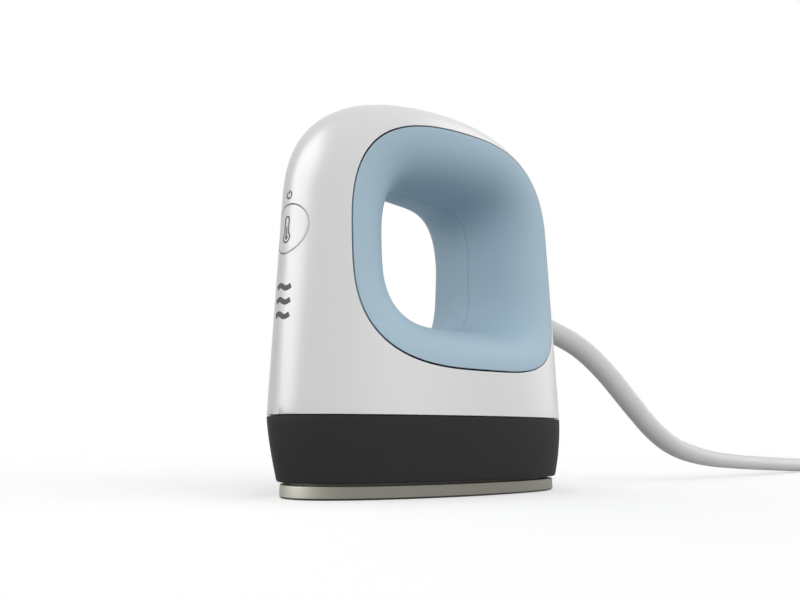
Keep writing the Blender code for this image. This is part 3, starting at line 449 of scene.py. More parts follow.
def soft_reach(angle, half_wide, half_high, power):
    """How far a superellipse reaches from its middle at an angle."""
    across, high = abs(cos(angle)) / half_wide, abs(sin(angle)) / half_high
    return (across ** power + high ** power) ** (-1 / power)


def ring_reach(angle, halves, powers):
    """The same for an outline whose quarters differ; halves are rear, nose, up and down."""
    rear, nose, up, down = halves
    rear_up, nose_up, nose_down, rear_down = powers
    high = sin(angle) >= 0
    if cos(angle) >= 0:
        half, power = rear, rear_up if high else rear_down
    else:
        half, power = nose, nose_up if high else nose_down
    return soft_reach(angle, half, up if high else down, power)


def rim_reach(angle):
    return ring_reach(angle, rim_halves, rim_powers)


def side_point(angle, reach):
    return opening_y + reach * cos(angle), opening_z + reach * sin(angle)


# %% [markdown]
# ## The shell
#
# The shell is one moulding, so it is one sheet. Its columns fan out from the opening and
# its rows run from the rim to the middle of the crown, or down to the seam. Columns are
# placed so that two of them meet the ends of the seam exactly, which keeps the bottom edge
# clean. The half is mirrored, copied inwards for the wall, joined along its three borders,
# and the sharp borders get the small radius of a real moulding.

# %% Columns and rows of the shell
crown_columns = 220
seam_columns = 100
skin_rows = 52
far_reach = 0.12
search_steps = 40
shell_columns = crown_columns + seam_columns
rear_corner = atan2(seam_height - opening_z, rear_edge(seam_height) - opening_y)
nose_corner = 2 * pi + atan2(seam_height - opening_z, nose_edge(seam_height) - opening_y)


def column_angle(column):
    """The fan's angle at a column: first over the crown, then along the seam."""
    if column <= crown_columns:
        return rear_corner + (nose_corner - rear_corner) * column / crown_columns
    share = (column - crown_columns) / seam_columns
    return nose_corner + (rear_corner + 2 * pi - nose_corner) * share


def furthest(low, high, holds):
    """The last place from low to high where something holds, found by halving the step."""
    for _ in range(search_steps):
        middle = (low + high) / 2
        if holds(middle):
            low = middle
        else:
            high = middle
    return low


def body_reach(column, angle):
    """How far the side view reaches along a column."""
    if not 0 < column % shell_columns < crown_columns:
        return (seam_height - opening_z) / sin(angle)
    return furthest(rim_reach(angle), far_reach, lambda reach: body_half(*side_point(angle, reach)) > 0)


angles = [column_angle(column) for column in range(shell_columns + 1)]
fan = [(angle, rim_reach(angle), body_reach(column, angle)) for column, angle in enumerate(angles)]


def shell_corner(column, row):
    angle, rim, outer = fan[column]
    y, z = side_point(angle, rim + (outer - rim) * sin(pi / 2 * row / skin_rows))
    at_middle = row == skin_rows and (column <= crown_columns or column == shell_columns)
    return Vector((0 if at_middle else body_half(y, z), y, z))


# %% Skin, wall and edges of the shell
wall_turns_over = 4 * shell_wall
seam_radius = 0.0004
seam_segments = 4


def border_loops(sheet):
    """A sheet's open borders, each as its own list of edges."""
    left = {edge for edge in sheet.edges if edge.is_boundary}
    loops = []
    while left:
        loop = [left.pop()]
        ends = list(loop[0].verts)
        while ends:
            corner = ends.pop()
            for edge in corner.link_edges:
                if edge in left:
                    left.remove(edge)
                    loop.append(edge)
                    ends.append(edge.other_vert(corner))
        loops.append(loop)
    return loops


def inward(corner, normal):
    """The way the wall runs: straight in beside the opening, and square to the skin elsewhere."""
    y, z = corner.y - opening_y, corner.z - opening_z
    share = eased((hypot(y, z) - rim_reach(atan2(z, y))) / wall_turns_over)
    straight = Vector((1 if corner.x > 0 else -1, 0, 0))
    return (straight * (1 - share) + normal * share).normalized()


def walled(skin, wall):
    """A closed wall under an open skin, with its outer edges rounded."""
    outward(skin).normal_update()
    outer = border_loops(skin)
    outer_sets = [{corner for edge in loop for corner in edge.verts} for loop in outer]
    ways = {corner: inward(corner.co, corner.normal) for corner in skin.verts}
    copied = bmesh.ops.duplicate(skin, geom=skin.verts[:] + skin.edges[:] + skin.faces[:])
    twin = copied["vert_map"]
    lining = [item for item in copied["geom"] if isinstance(item, bmesh.types.BMFace)]
    bmesh.ops.reverse_faces(skin, faces=lining)
    for corner, way in ways.items():
        inner = twin[corner]
        inner.co = corner.co - way * wall
        if corner.co.z < seam_height + weld:
            inner.co.z = seam_height
    rounded = []
    for loop, corners in zip(outer, outer_sets):
        inner_corners = {twin[corner] for corner in corners}
        inner_loop = [edge for edge in skin.edges if edge.is_boundary
                      and edge.verts[0] in inner_corners and edge.verts[1] in inner_corners]
        bmesh.ops.bridge_loops(skin, edges=loop + inner_loop)
        rounded += loop
    outward(skin)
    bmesh.ops.bevel(skin, geom=rounded, offset=seam_radius, offset_type="OFFSET",
                    segments=seam_segments, profile=0.5, affect="EDGES", material=-1,
                    clamp_overlap=True)
    return skin


skin = sheet_on_form(shell_columns, skin_rows, shell_corner)
bmesh.ops.mirror(skin, geom=skin.verts[:] + skin.edges[:] + skin.faces[:], matrix=Matrix.Identity(4),
                 merge_dist=weld, axis="X")
bmesh.ops.remove_doubles(skin, verts=skin.verts, dist=weld)
print("skin borders:", len(border_loops(skin)))
shell_mesh = walled(skin, shell_wall)

# %% [markdown]
# ## The nose
#
# The button and the printed marks sit on the nose, so they need the skin's depth at any
# place in its front view. The formula can't be turned round, but the search that found the
# shell's border, which halves its step, finds the depth just as well.

# %% Depth of the nose
def nose_depth(x, height):
    """The skin's y at a place in the nose's front view."""
    front, back = nose_edge(height), rear_edge(height)
    half = widest_half(height)
    share = furthest(0, plan_middle, lambda part: outline_half(part, half) < abs(x))
    return front + (back - front) * share


# %% [markdown]
# ## The mode button
#
# The button is a piece of the nose's own skin, cut out along a rounded drop and sprung
# against a switch. A round grid follows the outline: rings spread from the middle to the
# edge, roll over it, and close behind. The shell gets a hole with the same outline and a
# hair of room.

# %% Button cap
button_height = 0.06769
button_halves = (0.0064, 0.0064, 0.0062, 0.0067)
button_powers = (2.1, 2.1, 2.0, 2.0)
button_radius = 0.0003
button_wall = 0.0028
button_columns = 96
button_rings = 20
edge_rings = 4


def button_reach(angle):
    return ring_reach(angle, button_halves, button_powers)


def button_corner(column, row):
    """Rings of the face, then of the rounded edge, then the side and the closed back."""
    angle = 2 * pi * column / button_columns
    reach = button_reach(angle)
    deeper = 0
    if row <= button_rings:
        reach = (reach - button_radius) * row / button_rings
    elif row <= button_rings + edge_rings:
        turn = pi / 2 * (row - button_rings) / edge_rings
        reach += button_radius * (sin(turn) - 1)
        deeper = button_radius * (1 - cos(turn))
    else:
        deeper = button_wall
        if row == button_rings + edge_rings + 2:
            reach = 0
    x, z = reach * cos(angle), button_height + reach * sin(angle)
    return Vector((x, nose_depth(x, z) + deeper, z))


button_sheet = outward(sheet_on_form(button_columns, button_rings + edge_rings + 2, button_corner))


# %% Holes in the shell
button_gap = 0.00027
bore_radius = boot_neck_radius + clear
bore_segments = 48


def drop_corner(column, row):
    """The hole's outline, in front of the nose at row 0 and behind its skin at row 1."""
    angle = 2 * pi * column / button_columns
    reach = button_reach(angle) + button_gap
    y = nose_y - button_wall + 3 * button_wall * row
    return Vector((reach * cos(angle), y, button_height + reach * sin(angle)))


drop = capped(sheet_on_form(button_columns, 1, drop_corner))
bore = bmesh.new()
bmesh.ops.create_cone(bore, cap_ends=True, segments=bore_segments, radius1=bore_radius,
                      radius2=bore_radius, depth=4 * shell_wall)
bmesh.ops.rotate(bore, verts=bore.verts, matrix=Matrix.Rotation(pi / 2, 3, "X"))
bmesh.ops.translate(bore, verts=bore.verts, vec=(0, rear_edge(cord_height), cord_height))
hole_cutters = [from_sheet("button_hole", drop), from_sheet("boot_hole", bore)]


def cut_by(sheet, cutters):
    """The sheet with each cutter taken out, as a new bmesh; the cutters are removed."""
    body = from_sheet("uncut", sheet)
    for cutter in cutters:
        change = body.modifiers.new("hole", "BOOLEAN")
        change.operation = "DIFFERENCE"
        change.solver = "EXACT"
        change.object = cutter
    bpy.context.view_layer.update()
    graph = bpy.context.evaluated_depsgraph_get()
    mesh = bpy.data.meshes.new_from_object(body.evaluated_get(graph))
    cut = bmesh.new()
    cut.from_mesh(mesh)
    for used in (body, *cutters):
        bpy.data.objects.remove(used)
    bpy.data.meshes.remove(mesh)
    bmesh.ops.remove_doubles(cut, verts=cut.verts, dist=weld / 4)
    return cut


shell_cut = cut_by(shell_mesh, hole_cutters)
finished("shell_moulding", shell_cut, "white_plastic", "outer_shell")
finished("button_cap", button_sheet, "white_plastic", "mode_button", body="button")

# %% [markdown]
# ## The grips
#
# Each grip is a soft-edged funnel: it starts flush with the shell, rolls over like the rim
# of a bowl and turns square through the opening, where it meets its twin. In section that
# is nearly a quarter of an ellipse, a little squarer. The section is closed round its back,
# so the sheet closes into a ring. A hair's gap along the shell, wider at the nose than at
# the rear, and one between the halves give the dark part lines that the eye expects, and
# the grip's outer edge is cut under so that the gap stays dark.

# %% Section of a grip
grip_columns = 300
grip_wall = 0.0018
grip_edge = 0.00015
grip_gap = 0.00037
gap_swing = 0.6
gap_narrow_at = radians(22)
grip_undercut = 0.0007
grip_parting = 0.00012
parting_radius = 0.0001
grip_roll_power = 0.85
roll_steps = 36
turn_steps = 4
back_steps = 9
first_roll = radians(2)


def quarter(steps):
    """The angles of a quarter turn in even steps."""
    return [pi / 2 * step / steps for step in range(steps + 1)]


def grip_section(angle):
    """The grip's closed section at an angle of the opening, as (x, reach) pairs."""
    shell_rim = rim_reach(angle)
    half = body_half(*side_point(angle, shell_rim))
    rim = shell_rim - grip_gap * (1 - gap_swing * cos(angle - gap_narrow_at))
    waist = ring_reach(angle, waist_halves, waist_powers)
    near = grip_parting / 2
    last_roll = pi / 2 - ((parting_radius + near) / half) ** (1 / grip_roll_power)
    section = [(half - grip_wall, rim - grip_undercut)]
    for turn in quarter(turn_steps):
        section.append((half - grip_edge * (1 - sin(turn)), rim - grip_edge * (1 - cos(turn))))
    for step in range(roll_steps + 1):
        roll = first_roll + (last_roll - first_roll) * step / roll_steps
        section.append((half * cos(roll) ** grip_roll_power,
                        rim + (waist - rim) * sin(roll) ** grip_roll_power))
    for turn in quarter(turn_steps)[1:]:
        section.append((near + parting_radius * (1 - sin(turn)),
                        waist + parting_radius * (1 - cos(turn))))
    section.append((near, waist + grip_wall))
    for roll in quarter(back_steps)[-2:0:-1]:
        section.append((max((half - grip_wall) * cos(roll) ** grip_roll_power, near),
                        rim + (waist - rim + grip_wall) * sin(roll) ** grip_roll_power))
    return section + section[:1]


grip_angles = [2 * pi * column / grip_columns for column in range(grip_columns + 1)]
grip_sections = [grip_section(angle) for angle in grip_angles]


def build_grip(name, side, stands_for):
    def corner(column, row):
        x, reach = grip_sections[column][row]
        return Vector((side * x, *side_point(grip_angles[column], reach)))
    sheet = sheet_on_form(grip_columns, len(grip_sections[0]) - 1, corner)
    finished(name, outward(sheet), "blue_grip", stands_for)


build_grip("left_grip_liner", -1, "grip_left")
build_grip("right_grip_liner", 1, "grip_right")

# %% [markdown]
# ## Skirt and sole
#
# Both are lofts of the egg outline. The skirt draws in towards its foot and is hollow, so
# its section runs down the outside, under the foot and up the inside again. The sole is a
# thick plate with its edges eased. Each level of a loft is the outline at its own inset and
# height.

# %% Lofts of the egg
plan_columns = 280


def egg_point(column, front, back, half, height):
    turn = column / plan_columns
    share = (1 - cos(2 * pi * turn)) / 2
    side = 1 if turn <= 0.5 else -1
    return Vector((side * outline_half(share, half), front + (back - front) * share, height))


def loft(levels):
    """A sheet through egg outlines, each given as front, back, half width and height."""
    return sheet_on_form(plan_columns, len(levels) - 1, lambda i, j: egg_point(i, *levels[j]))


# %% The skirt
plate_low, plate_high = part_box("heat_plate")
plate_front, plate_rear = plate_low.y, plate_high.y
plate_half = plate_high.x
plate_edge_height = 0.0033
skirt_bottom = 0.0039
skirt_top = seam_height - clear
skirt_nose_flare = 0.0034
skirt_rear_flare = 0.0017
skirt_side_flare = 0.00145
skirt_nose_power = 1.3
skirt_rear_power = 2.0
skirt_wall = 0.002
foot_radius = 0.0005
top_radius = 0.0003
lip_inset = 0.0031
lip_top = seam_height + 0.003
flange_top = skirt_bottom + 0.0016
foot_opening = 0.0028
edge_steps = 5
wall_steps = 10


def skirt_level(inset, height):
    drop = kept_share((skirt_top - height) / (skirt_top - skirt_bottom))
    rear_drop = drop ** skirt_rear_power
    return (nose_y + skirt_nose_flare * drop ** skirt_nose_power + inset,
            rear_y - skirt_rear_flare * rear_drop - inset,
            body_width / 2 - skirt_side_flare * rear_drop - inset, height)


def rounded_levels(level, radius, height, up):
    """Levels that roll round an edge: from a foot onto its wall, or up and off the wall."""
    made = []
    for turn in quarter(edge_steps):
        if up:
            made.append(level(radius * (1 - cos(turn)), height - radius * (1 - sin(turn))))
        else:
            made.append(level(radius * (1 - sin(turn)), height + radius * (1 - cos(turn))))
    return made


def plate_level(inset, height):
    return (plate_front + inset, plate_rear - inset, plate_half - inset, height)


levels = [plate_level(foot_opening, skirt_bottom)]
levels += rounded_levels(skirt_level, foot_radius, skirt_bottom, False)
low_wall, high_wall = skirt_bottom + foot_radius, skirt_top - top_radius
levels += [skirt_level(0, low_wall + (high_wall - low_wall) * step / wall_steps)
           for step in range(1, wall_steps)]
levels += rounded_levels(skirt_level, top_radius, skirt_top, True)
lip_back = lip_inset + skirt_wall
levels += [skirt_level(lip_inset, skirt_top), skirt_level(lip_inset, lip_top),
           skirt_level(lip_back, lip_top), skirt_level(lip_back, flange_top),
           plate_level(foot_opening, flange_top), levels[0]]
finished("skirt_moulding", outward(loft(levels)), "black_plastic", "base_skirt")

# %% The sole
sole_chamfer = 0.00045
sole_radius = 0.0003
collar_inset = 0.003
collar_top = 0.0055
levels = [plate_level(sole_chamfer, 0), plate_level(0, sole_chamfer)]
levels += rounded_levels(plate_level, sole_radius, plate_edge_height, True)
levels += [plate_level(collar_inset, plate_edge_height), plate_level(collar_inset, collar_top)]
finished("sole_plate", capped(loft(levels)), "plate_metal", "heat_plate")

# %% [markdown]
# ## Printed marks
#
# The marks are ink on the nose: a power sign, a thermometer on the button and three heat
# waves. Each stroke is a narrow strip of grid laid on the skin's depth, a few hundredths of
# a millimetre proud, which is about how thick pad-printed ink is.

# %% Strokes of ink
ink_lift = 0.00002
ink_depth = 0.00004
marks = []


def stroke(path, width):
    """A strip of ink along a path of (x, z) places on the nose."""
    path = [Vector(place) for place in path]
    ring = (path[0] - path[-1]).length < weld
    sides = []
    for index, place in enumerate(path):
        before = path[index - 1] if index else (path[-2] if ring else place)
        after = path[index + 1] if index < len(path) - 1 else (path[1] if ring else place)
        run = (after - before).normalized()
        sides.append(Vector((-run.y, run.x)) * width / 2)

    def corner(column, row):
        x, z = path[column] + sides[column] * (row - 1)
        return Vector((x, nose_depth(x, z) - ink_lift, z))
    sheet = outward(sheet_on_form(len(path) - 1, 2, corner))
    if sum(face.normal.y for face in sheet.faces) > 0:
        bmesh.ops.reverse_faces(sheet, faces=sheet.faces)
    bmesh.ops.solidify(sheet, geom=sheet.faces[:], thickness=ink_depth)
    return outward(sheet)


def arc(centre, radius, start, end, steps=24):
    x, z = centre
    angles = [start + (end - start) * step / steps for step in range(steps + 1)]
    return [(x + radius * cos(angle), z + radius * sin(angle)) for angle in angles]


def printed(name, path, width, body="housing"):
    """A mark of ink along a path."""
    marks.append(finished(name, stroke(path, width), "dark_part", body=body))


# %% Three heat waves
wave_drops = (0.0228, 0.0191, 0.0155)
wave_half = 0.003
wave_rise = 0.00042
wave_width = 0.00138
wave_slope = -0.05
marks_aside = -0.0002
wave_turns = 1.15
wave_steps = 32
for number, drop in enumerate(wave_drops, 1):
    path = []
    for step in range(wave_steps + 1):
        share = 2 * step / wave_steps - 1
        x = wave_half * share
        bend = wave_slope * x - wave_rise * sin(share * pi * wave_turns)
        path.append((x + marks_aside, button_height - drop + bend))
    printed("heat_wave_{}".format(number), path, wave_width)

# %% Power sign
power_place = (0, button_height + 0.0089)
power_radius = 0.00098
power_line = 0.00048
power_gap = radians(32)
ring_path = arc(power_place, power_radius, pi / 2 + power_gap, 5 * pi / 2 - power_gap)
bar_path = [(0, power_place[1] + power_radius * share) for share in (0.25, 0.8, 1.35)]
printed("power_ring", ring_path, power_line)
printed("power_bar", bar_path, power_line)

# %% Thermometer
bulb_place = (marks_aside, button_height - 0.0025)
bulb_radius = 0.00135
stem_half = 0.00082
stem_top = button_height + 0.0022
glass_line = 0.00048
mercury_radius = 0.0006
mercury_top = button_height + 0.0004
shoulder = pi / 2 - atan2(stem_half, (bulb_radius ** 2 - stem_half ** 2) ** 0.5)
glass = arc(bulb_place, bulb_radius, pi - shoulder, 2 * pi + shoulder)
glass += [(marks_aside + stem_half, stem_top - stem_half * 2)]
glass += arc((marks_aside, stem_top), stem_half, 0, pi, 12)
glass += [(marks_aside - stem_half, stem_top - stem_half * 2), glass[0]]
mercury = [bulb_place, (marks_aside, (bulb_place[1] + mercury_top) / 2), (marks_aside, mercury_top)]
dot = arc(bulb_place, mercury_radius / 2, 0, 2 * pi, 16)
printed("thermometer_glass", glass, glass_line, "button")
printed("thermometer_line", mercury, glass_line, "button")
printed("thermometer_bulb", dot, mercury_radius, "button")

# %% [markdown]
# ## Plug and tie
#
# The plug is one soft moulding from the cord to the face, so it is lofted along its own
# line from a circle to a rounded square. The tie is a band of hook-and-loop tape round the
# bundle of turns.

# %% The plug
plug_length = 0.028
plug_width = 0.02
plug_nose = 0.012
plug_columns = 72
plug_power = 4.5
plug_swell = 1.6
plug_edge = 0.0025
nose_steps = 12
face_steps = 6
plug_heading = -hank_heading
plug_start = hank[-1] + plug_heading * clear
plug_frame = Matrix.Translation((plug_start.x, plug_start.y, 0))
plug_frame = plug_frame @ plug_heading.to_track_quat("Y", "Z").to_matrix().to_4x4()


def soft_square(turn, half_wide, half_high, power):
    """A point on a superellipse, spread evenly by angle."""
    reach = soft_reach(turn, half_wide, half_high, power)
    return reach * cos(turn), reach * sin(turn)


tip_radius = cord_radius + tie_sheet
plug_levels = []
for step in range(nose_steps + 1):
    share = step / nose_steps
    swell = eased(share) ** plug_swell
    plug_levels.append((plug_nose * share, tip_radius + (plug_width / 2 - tip_radius) * swell,
                        tip_radius + (plug_half_height - tip_radius) * swell,
                        2 + (plug_power - 2) * eased(share)))
plug_side = plug_length - plug_edge
for step in range(1, face_steps + 1):
    plug_levels.append((plug_nose + plug_side * step / face_steps, plug_width / 2,
                        plug_half_height, plug_power))
for turn in quarter(face_steps)[1:]:
    lost = plug_edge * (1 - cos(turn))
    plug_levels.append((plug_nose + plug_side + plug_edge * sin(turn), plug_width / 2 - lost,
                        plug_half_height - lost, plug_power))


def plug_corner(column, row):
    along, half_wide, half_high, power = plug_levels[row]
    x, z = soft_square(2 * pi * column / plug_columns, half_wide, half_high, power)
    return plug_frame @ Vector((x, along, z + plug_half_height))


plug_sheet = sheet_on_form(plug_columns, len(plug_levels) - 1, plug_corner)
plug = finished("plug_moulding", capped(plug_sheet), "white_cord", "plug_body")

# %% The tie
tie_width = 0.008
tie_columns = 96
tie_power = 7
tie_room = cord_radius + clear
tie_y = hank_place[1]
wrapped = [point for point in hank if abs(point.y - tie_y) < tie_width / 2]
tie_section = ((0, -1), (0, 1), (1, 1), (1, -1), (0, -1))


def tie_span(places):
    """The middle and the half size of a band round the cord's places."""
    low, high = min(places) - tie_room, max(places) + tie_room
    return (low + high) / 2, (high - low) / 2


tie_x, tie_half_wide = tie_span([point.x for point in wrapped])
tie_z, tie_half_high = tie_span([point.z for point in wrapped])


def tie_corner(column, row):
    """A corner of the band, whose section goes round its inner and outer face."""
    out, side = tie_section[row]
    x, z = soft_square(2 * pi * column / tie_columns, tie_half_wide + tie_sheet * out,
                       tie_half_high + tie_sheet * out, tie_power)
    return Vector((tie_x + x, tie_y + side * tie_width / 2, tie_z + z))


tie_band = sheet_on_form(tie_columns, len(tie_section) - 1, tie_corner)
tie = finished("hank_tie", outward(tie_band), "black_plastic", "cord_tie")

# %% [markdown]
# ## Shader maths in plain Python
#
# A finish is a small sum of patterns. Wiring each sum by hand hides the idea, so one class
# wraps a socket and gives it Python's own operators, and one method adds any other node.

# %% Signals and finishes
class Signal:
    """A shader value that Python's operators can combine."""

    def __init__(self, finish, socket):
        self.finish = finish
        self.socket = socket

    def maths(self, operation, *others):
        values = dict(enumerate((self, *others)))
        return self.finish.add("ShaderNodeMath", {"operation": operation}, values)

    def __add__(self, other):
        return self.maths("ADD", other)

    def __sub__(self, other):
        return self.maths("SUBTRACT", other)

    def __rsub__(self, other):
        return self.finish.add("ShaderNodeMath", {"operation": "SUBTRACT"}, {0: other, 1: self})

    def __mul__(self, other):
        return self.maths("MULTIPLY", other)

    def __pow__(self, other):
        return self.maths("POWER", other)

    __radd__ = __add__
    __rmul__ = __mul__

    def above(self, edge, softness):
        """0 below an edge and 1 above it, with a soft step."""
        settings = {"interpolation_type": "SMOOTHSTEP"}
        values = {"Value": self, "From Min": edge - softness, "From Max": edge + softness}
        return self.finish.add("ShaderNodeMapRange", settings, values, "Result")


class Finish:
    """The node tree of a material or a world, written as sums of signals."""

    def __init__(self, owner):
        self.owner = owner
        owner.use_nodes = True
        self.nodes = owner.node_tree.nodes
        self.links = owner.node_tree.links

    def feed(self, socket, value):
        if isinstance(value, Signal):
            self.links.new(value.socket, socket)
        elif isinstance(value, tuple) and len(value) == 3 and len(socket.default_value) == 4:
            socket.default_value = (*value, 1)
        else:
            socket.default_value = value

    def add(self, kind, settings=None, values=None, output=0):
        """A node with its settings first, then its sockets' values or links."""
        node = self.nodes.new(kind)
        for name, value in (settings or {}).items():
            setattr(node, name, value)
        for name, value in (values or {}).items():
            self.feed(node.inputs[name], value)
        return Signal(self, node.outputs[output])

    def mix(self, share, low, high):
        values = {"Factor": share, 6: low, 7: high}
        return self.add("ShaderNodeMix", {"data_type": "RGBA"}, values, 2)

    def noise(self, place, scale, detail=2.0, roughness=0.5):
        values = {"Vector": place, "Scale": scale, "Detail": detail, "Roughness": roughness}
        return self.add("ShaderNodeTexNoise", None, values, "Fac")

    def bump(self, height):
        """The normal of a surface whose height is a signal in metres."""
        values = {"Height": height, "Distance": 1.0, "Strength": 1.0}
        return self.add("ShaderNodeBump", None, values, "Normal")

    def shade(self, **values):
        """The material, once values or signals feed its shader's sockets."""
        shader = self.nodes["Principled BSDF"]
        for name, value in values.items():
            self.feed(shader.inputs[name.replace("_", " ")], value)
        return self.owner


def new_finish(name):
    """A new material's Finish, and the place on the piece in metres as a signal."""
    finish = Finish(bpy.data.materials.new(name))
    return finish, finish.add("ShaderNodeTexCoord", output="Object")


# %% [markdown]
# ## Moulded plastics
#
# The shell is a polished moulding: it mirrors the lights softly, and what gives it away as
# plastic is a very slight waviness. The skirt and the grips come from etched tools, so
# their surfaces break the light up in grains of a tenth of a millimetre or so. Only the
# grain's size, its depth and the gloss differ, so one recipe makes them all.

# %% The moulded recipe
def shaded(colour, share):
    """A colour made darker or lighter by a share."""
    return tuple(min(channel * share, 1) for channel in colour)


def moulded(name, colour, gloss, grain_size, grain_depth, mottle=0.02, shine=0.5):
    """A moulded plastic: an even colour, a fine etched grain and a slow waviness."""
    finish, place = new_finish(name)
    cloud = finish.noise(place, 60, 3)
    grain = finish.noise(place, 1 / grain_size, 2, 0.6)
    wave = finish.noise(place, 90, 1)
    shade = finish.mix(cloud, shaded(colour, 1 - mottle), shaded(colour, 1 + mottle))
    rough = gloss + (grain - 0.5) * 0.06 + (cloud - 0.5) * 0.05
    height = grain * grain_depth + wave * (grain_depth * 0.4)
    return finish.shade(Base_Color=shade, Roughness=rough, Normal=finish.bump(height),
                        Specular_IOR_Level=shine, IOR=1.46)


# %% Plastics, fibres and rubber
# Each slot has a name, a colour and a gloss, its grain's size and depth, a mottle and a shine.
plastics = {
    "white_plastic": ("shell_white", (0.78, 0.78, 0.785), 0.33, 0.0006, 2e-6, 0.006),
    "blue_grip": ("grip_blue", (0.425, 0.57, 0.67), 0.6, 0.0003, 6e-6, 0.015, 0.2),
    "black_plastic": ("skirt_black", (0.035, 0.035, 0.035), 0.6, 0.0003, 8e-6, 0.06, 0.06),
    "white_cord": ("cord_white", (0.66, 0.66, 0.66), 0.45, 0.0005, 4e-6, 0.008, 0.3),
    "dark_part": ("component_dark", (0.045, 0.045, 0.05), 0.4, 0.0003, 4e-6, 0.05),
    "yellow_film": ("capacitor_yellow", (0.72, 0.5, 0.08), 0.35, 0.0008, 4e-6, 0.05),
    "blue_part": ("component_blue", (0.04, 0.13, 0.42), 0.3, 0.0008, 8e-6, 0.05),
    "lead_cover": ("lead_silicone", (0.42, 0.36, 0.31), 0.55, 0.0006, 6e-6, 0.04),
    "ceramic": ("standoff_ceramic", (0.8, 0.77, 0.71), 0.6, 0.0004, 10e-6, 0.04),
    "clear_plastic": ("light_guide_clear", (0.8, 0.84, 0.86), 0.15, 0.001, 1e-6, 0.01),
    "felt": ("pad_fibre", (0.7, 0.68, 0.63), 0.9, 0.0006, 60e-6, 0.1),
    "ink": ("printed_ink", (0.11, 0.11, 0.113), 0.6, 0.0003, 2e-6, 0.04, 0.15),
    "tape": ("tie_tape", (0.03, 0.03, 0.032), 0.85, 0.0005, 50e-6, 0.15),
}
finishes = {slot: moulded(*recipe) for slot, recipe in plastics.items()}
print("plastics:", len(finishes))


# %% [markdown]
# ## Metals
#
# The sole is satin aluminium with a warm cast. Drawing it through a belt leaves scratches
# that run one way, so its noise is stretched along its edge. Sheet steel, screws and blades
# use the same recipe with their own colours and scratch sizes. Under the sole the colour is
# painted shadow: below the chamfer's top it is near-black and not metal, which draws a thin
# black line of contact shade under the plate.

# %% The brushed recipe
# Painted shadow: the near-black colour given to the sole below its chamfer's top, standing in for
# contact shade.
painted_shadow_colour = (0.012, 0.012, 0.012)


def brushed(name, colour, gloss, stretch, scratch_size, depth, painted_shadow_height=None):
    """A metal with fine scratches that run one way, and painted shadow, near-black and not metal, up to
    a height if one is given.
    """
    finish, place = new_finish(name)
    settings = {"vector_type": "POINT"}
    drawn = finish.add("ShaderNodeMapping", settings, {"Vector": place, "Scale": stretch}, "Vector")
    scratches = finish.noise(drawn, 1 / scratch_size, 3, 0.6)
    cloud = finish.noise(place, 70, 3)
    shade = finish.mix(cloud, shaded(colour, 0.93), shaded(colour, 1.05))
    rough = gloss + (scratches - 0.5) * 0.12 + (cloud - 0.5) * 0.08
    above_painted_shadow = 1.0
    # Below the given height the metal is replaced by painted shadow: near-black and not metal.
    if painted_shadow_height:
        height = finish.add("ShaderNodeSeparateXYZ", None, {"Vector": place}, "Z")
        above_painted_shadow = height.above(painted_shadow_height, painted_shadow_height / 20)
        shade = finish.mix(above_painted_shadow, painted_shadow_colour, shade)
    return finish.shade(Base_Color=shade, Metallic=above_painted_shadow, Roughness=rough,
                        Normal=finish.bump(scratches * depth))


# Each slot has a name, a colour and a gloss, its scratches' stretch, size and depth, and the height of
# a painted shadow.
metals = {
    # The sole's last value is the top of its painted shadow, which is the chamfer's top.
    "plate_metal": ("sole_satin", (0.203, 0.196, 0.169), 0.58, (0.05, 0.05, 1), 0.0002, 2e-6,
                    sole_chamfer),
    "sheet_steel": ("sheet_bright", (0.6, 0.61, 0.62), 0.3, (1, 0.04, 1), 0.0003, 4e-6),
    "zinc_steel": ("screw_zinc", (0.62, 0.62, 0.6), 0.28, (1, 1, 0.2), 0.0003, 3e-6),
    "sheath_metal": ("element_sheath", (0.24, 0.23, 0.22), 0.45, (1, 0.2, 1), 0.0004, 5e-6),
    "brass": ("blade_brass", (0.74, 0.54, 0.26), 0.26, (0.2, 0.2, 1), 0.0003, 3e-6),
}
finishes.update((slot, brushed(*recipe)) for slot, recipe in metals.items())
print("plastics and metals:", len(finishes))


# %% [markdown]
# ## Circuit board
#
# A board is green lacquer over copper. A brick pattern with thin mortar stands for the
# tracks, a little lighter and a little higher than the rest.

# %% Board finish
def circuit_board():
    finish, place = new_finish("board_green")
    values = {"Vector": place, "Scale": 260.0, "Mortar Size": 0.018, "Mortar Smooth": 0.2,
              "Color1": (0.0, 0.0, 0.0), "Color2": (0.0, 0.0, 0.0), "Mortar": (1.0, 1.0, 1.0)}
    tracks = finish.add("ShaderNodeTexBrick", {"offset": 0.35}, values, "Fac")
    cloud = finish.noise(place, 120, 3)
    base = finish.mix(cloud, (0.012, 0.1, 0.035), (0.018, 0.14, 0.05))
    colour = finish.mix(tracks, base, (0.05, 0.26, 0.1))
    return finish.shade(Base_Color=colour, Roughness=0.35 + cloud * 0.1,
                        Normal=finish.bump(tracks * 0.00003))


finishes["green_board"] = circuit_board()

# %% Finishes on pieces
slots = {part["node"]: part["material_slot"] for part in frame["record"]["subparts"]}
for name, node in nodes.items():
    node.data.materials.clear()
    node.data.materials.append(finishes[slots[name]])
special = {tie: "tape", **dict.fromkeys(marks, "ink")}
for piece, slot in slot_of.items():
    piece.data.materials.append(finishes[special.get(piece, slot)])
print("dressed nodes:", len(nodes), "and pieces:", len(slot_of))

# %% [markdown]
# ## Floor and light
#
# The picture has a white floor that runs into a white background, with a soft shadow close
# to the press. The floor is plain: paler to the camera, and in mirrors and glass, than to
# the light that it throws back, with a little light of its own there, so it is white where
# nothing shades it.

# %% Floor
floor_size = 6.0
floor_drop = 0.00005
floor_colour = (0.4,) * 3
floor_seen_colour = (1.0,) * 3
floor_lift = (0.32,) * 3


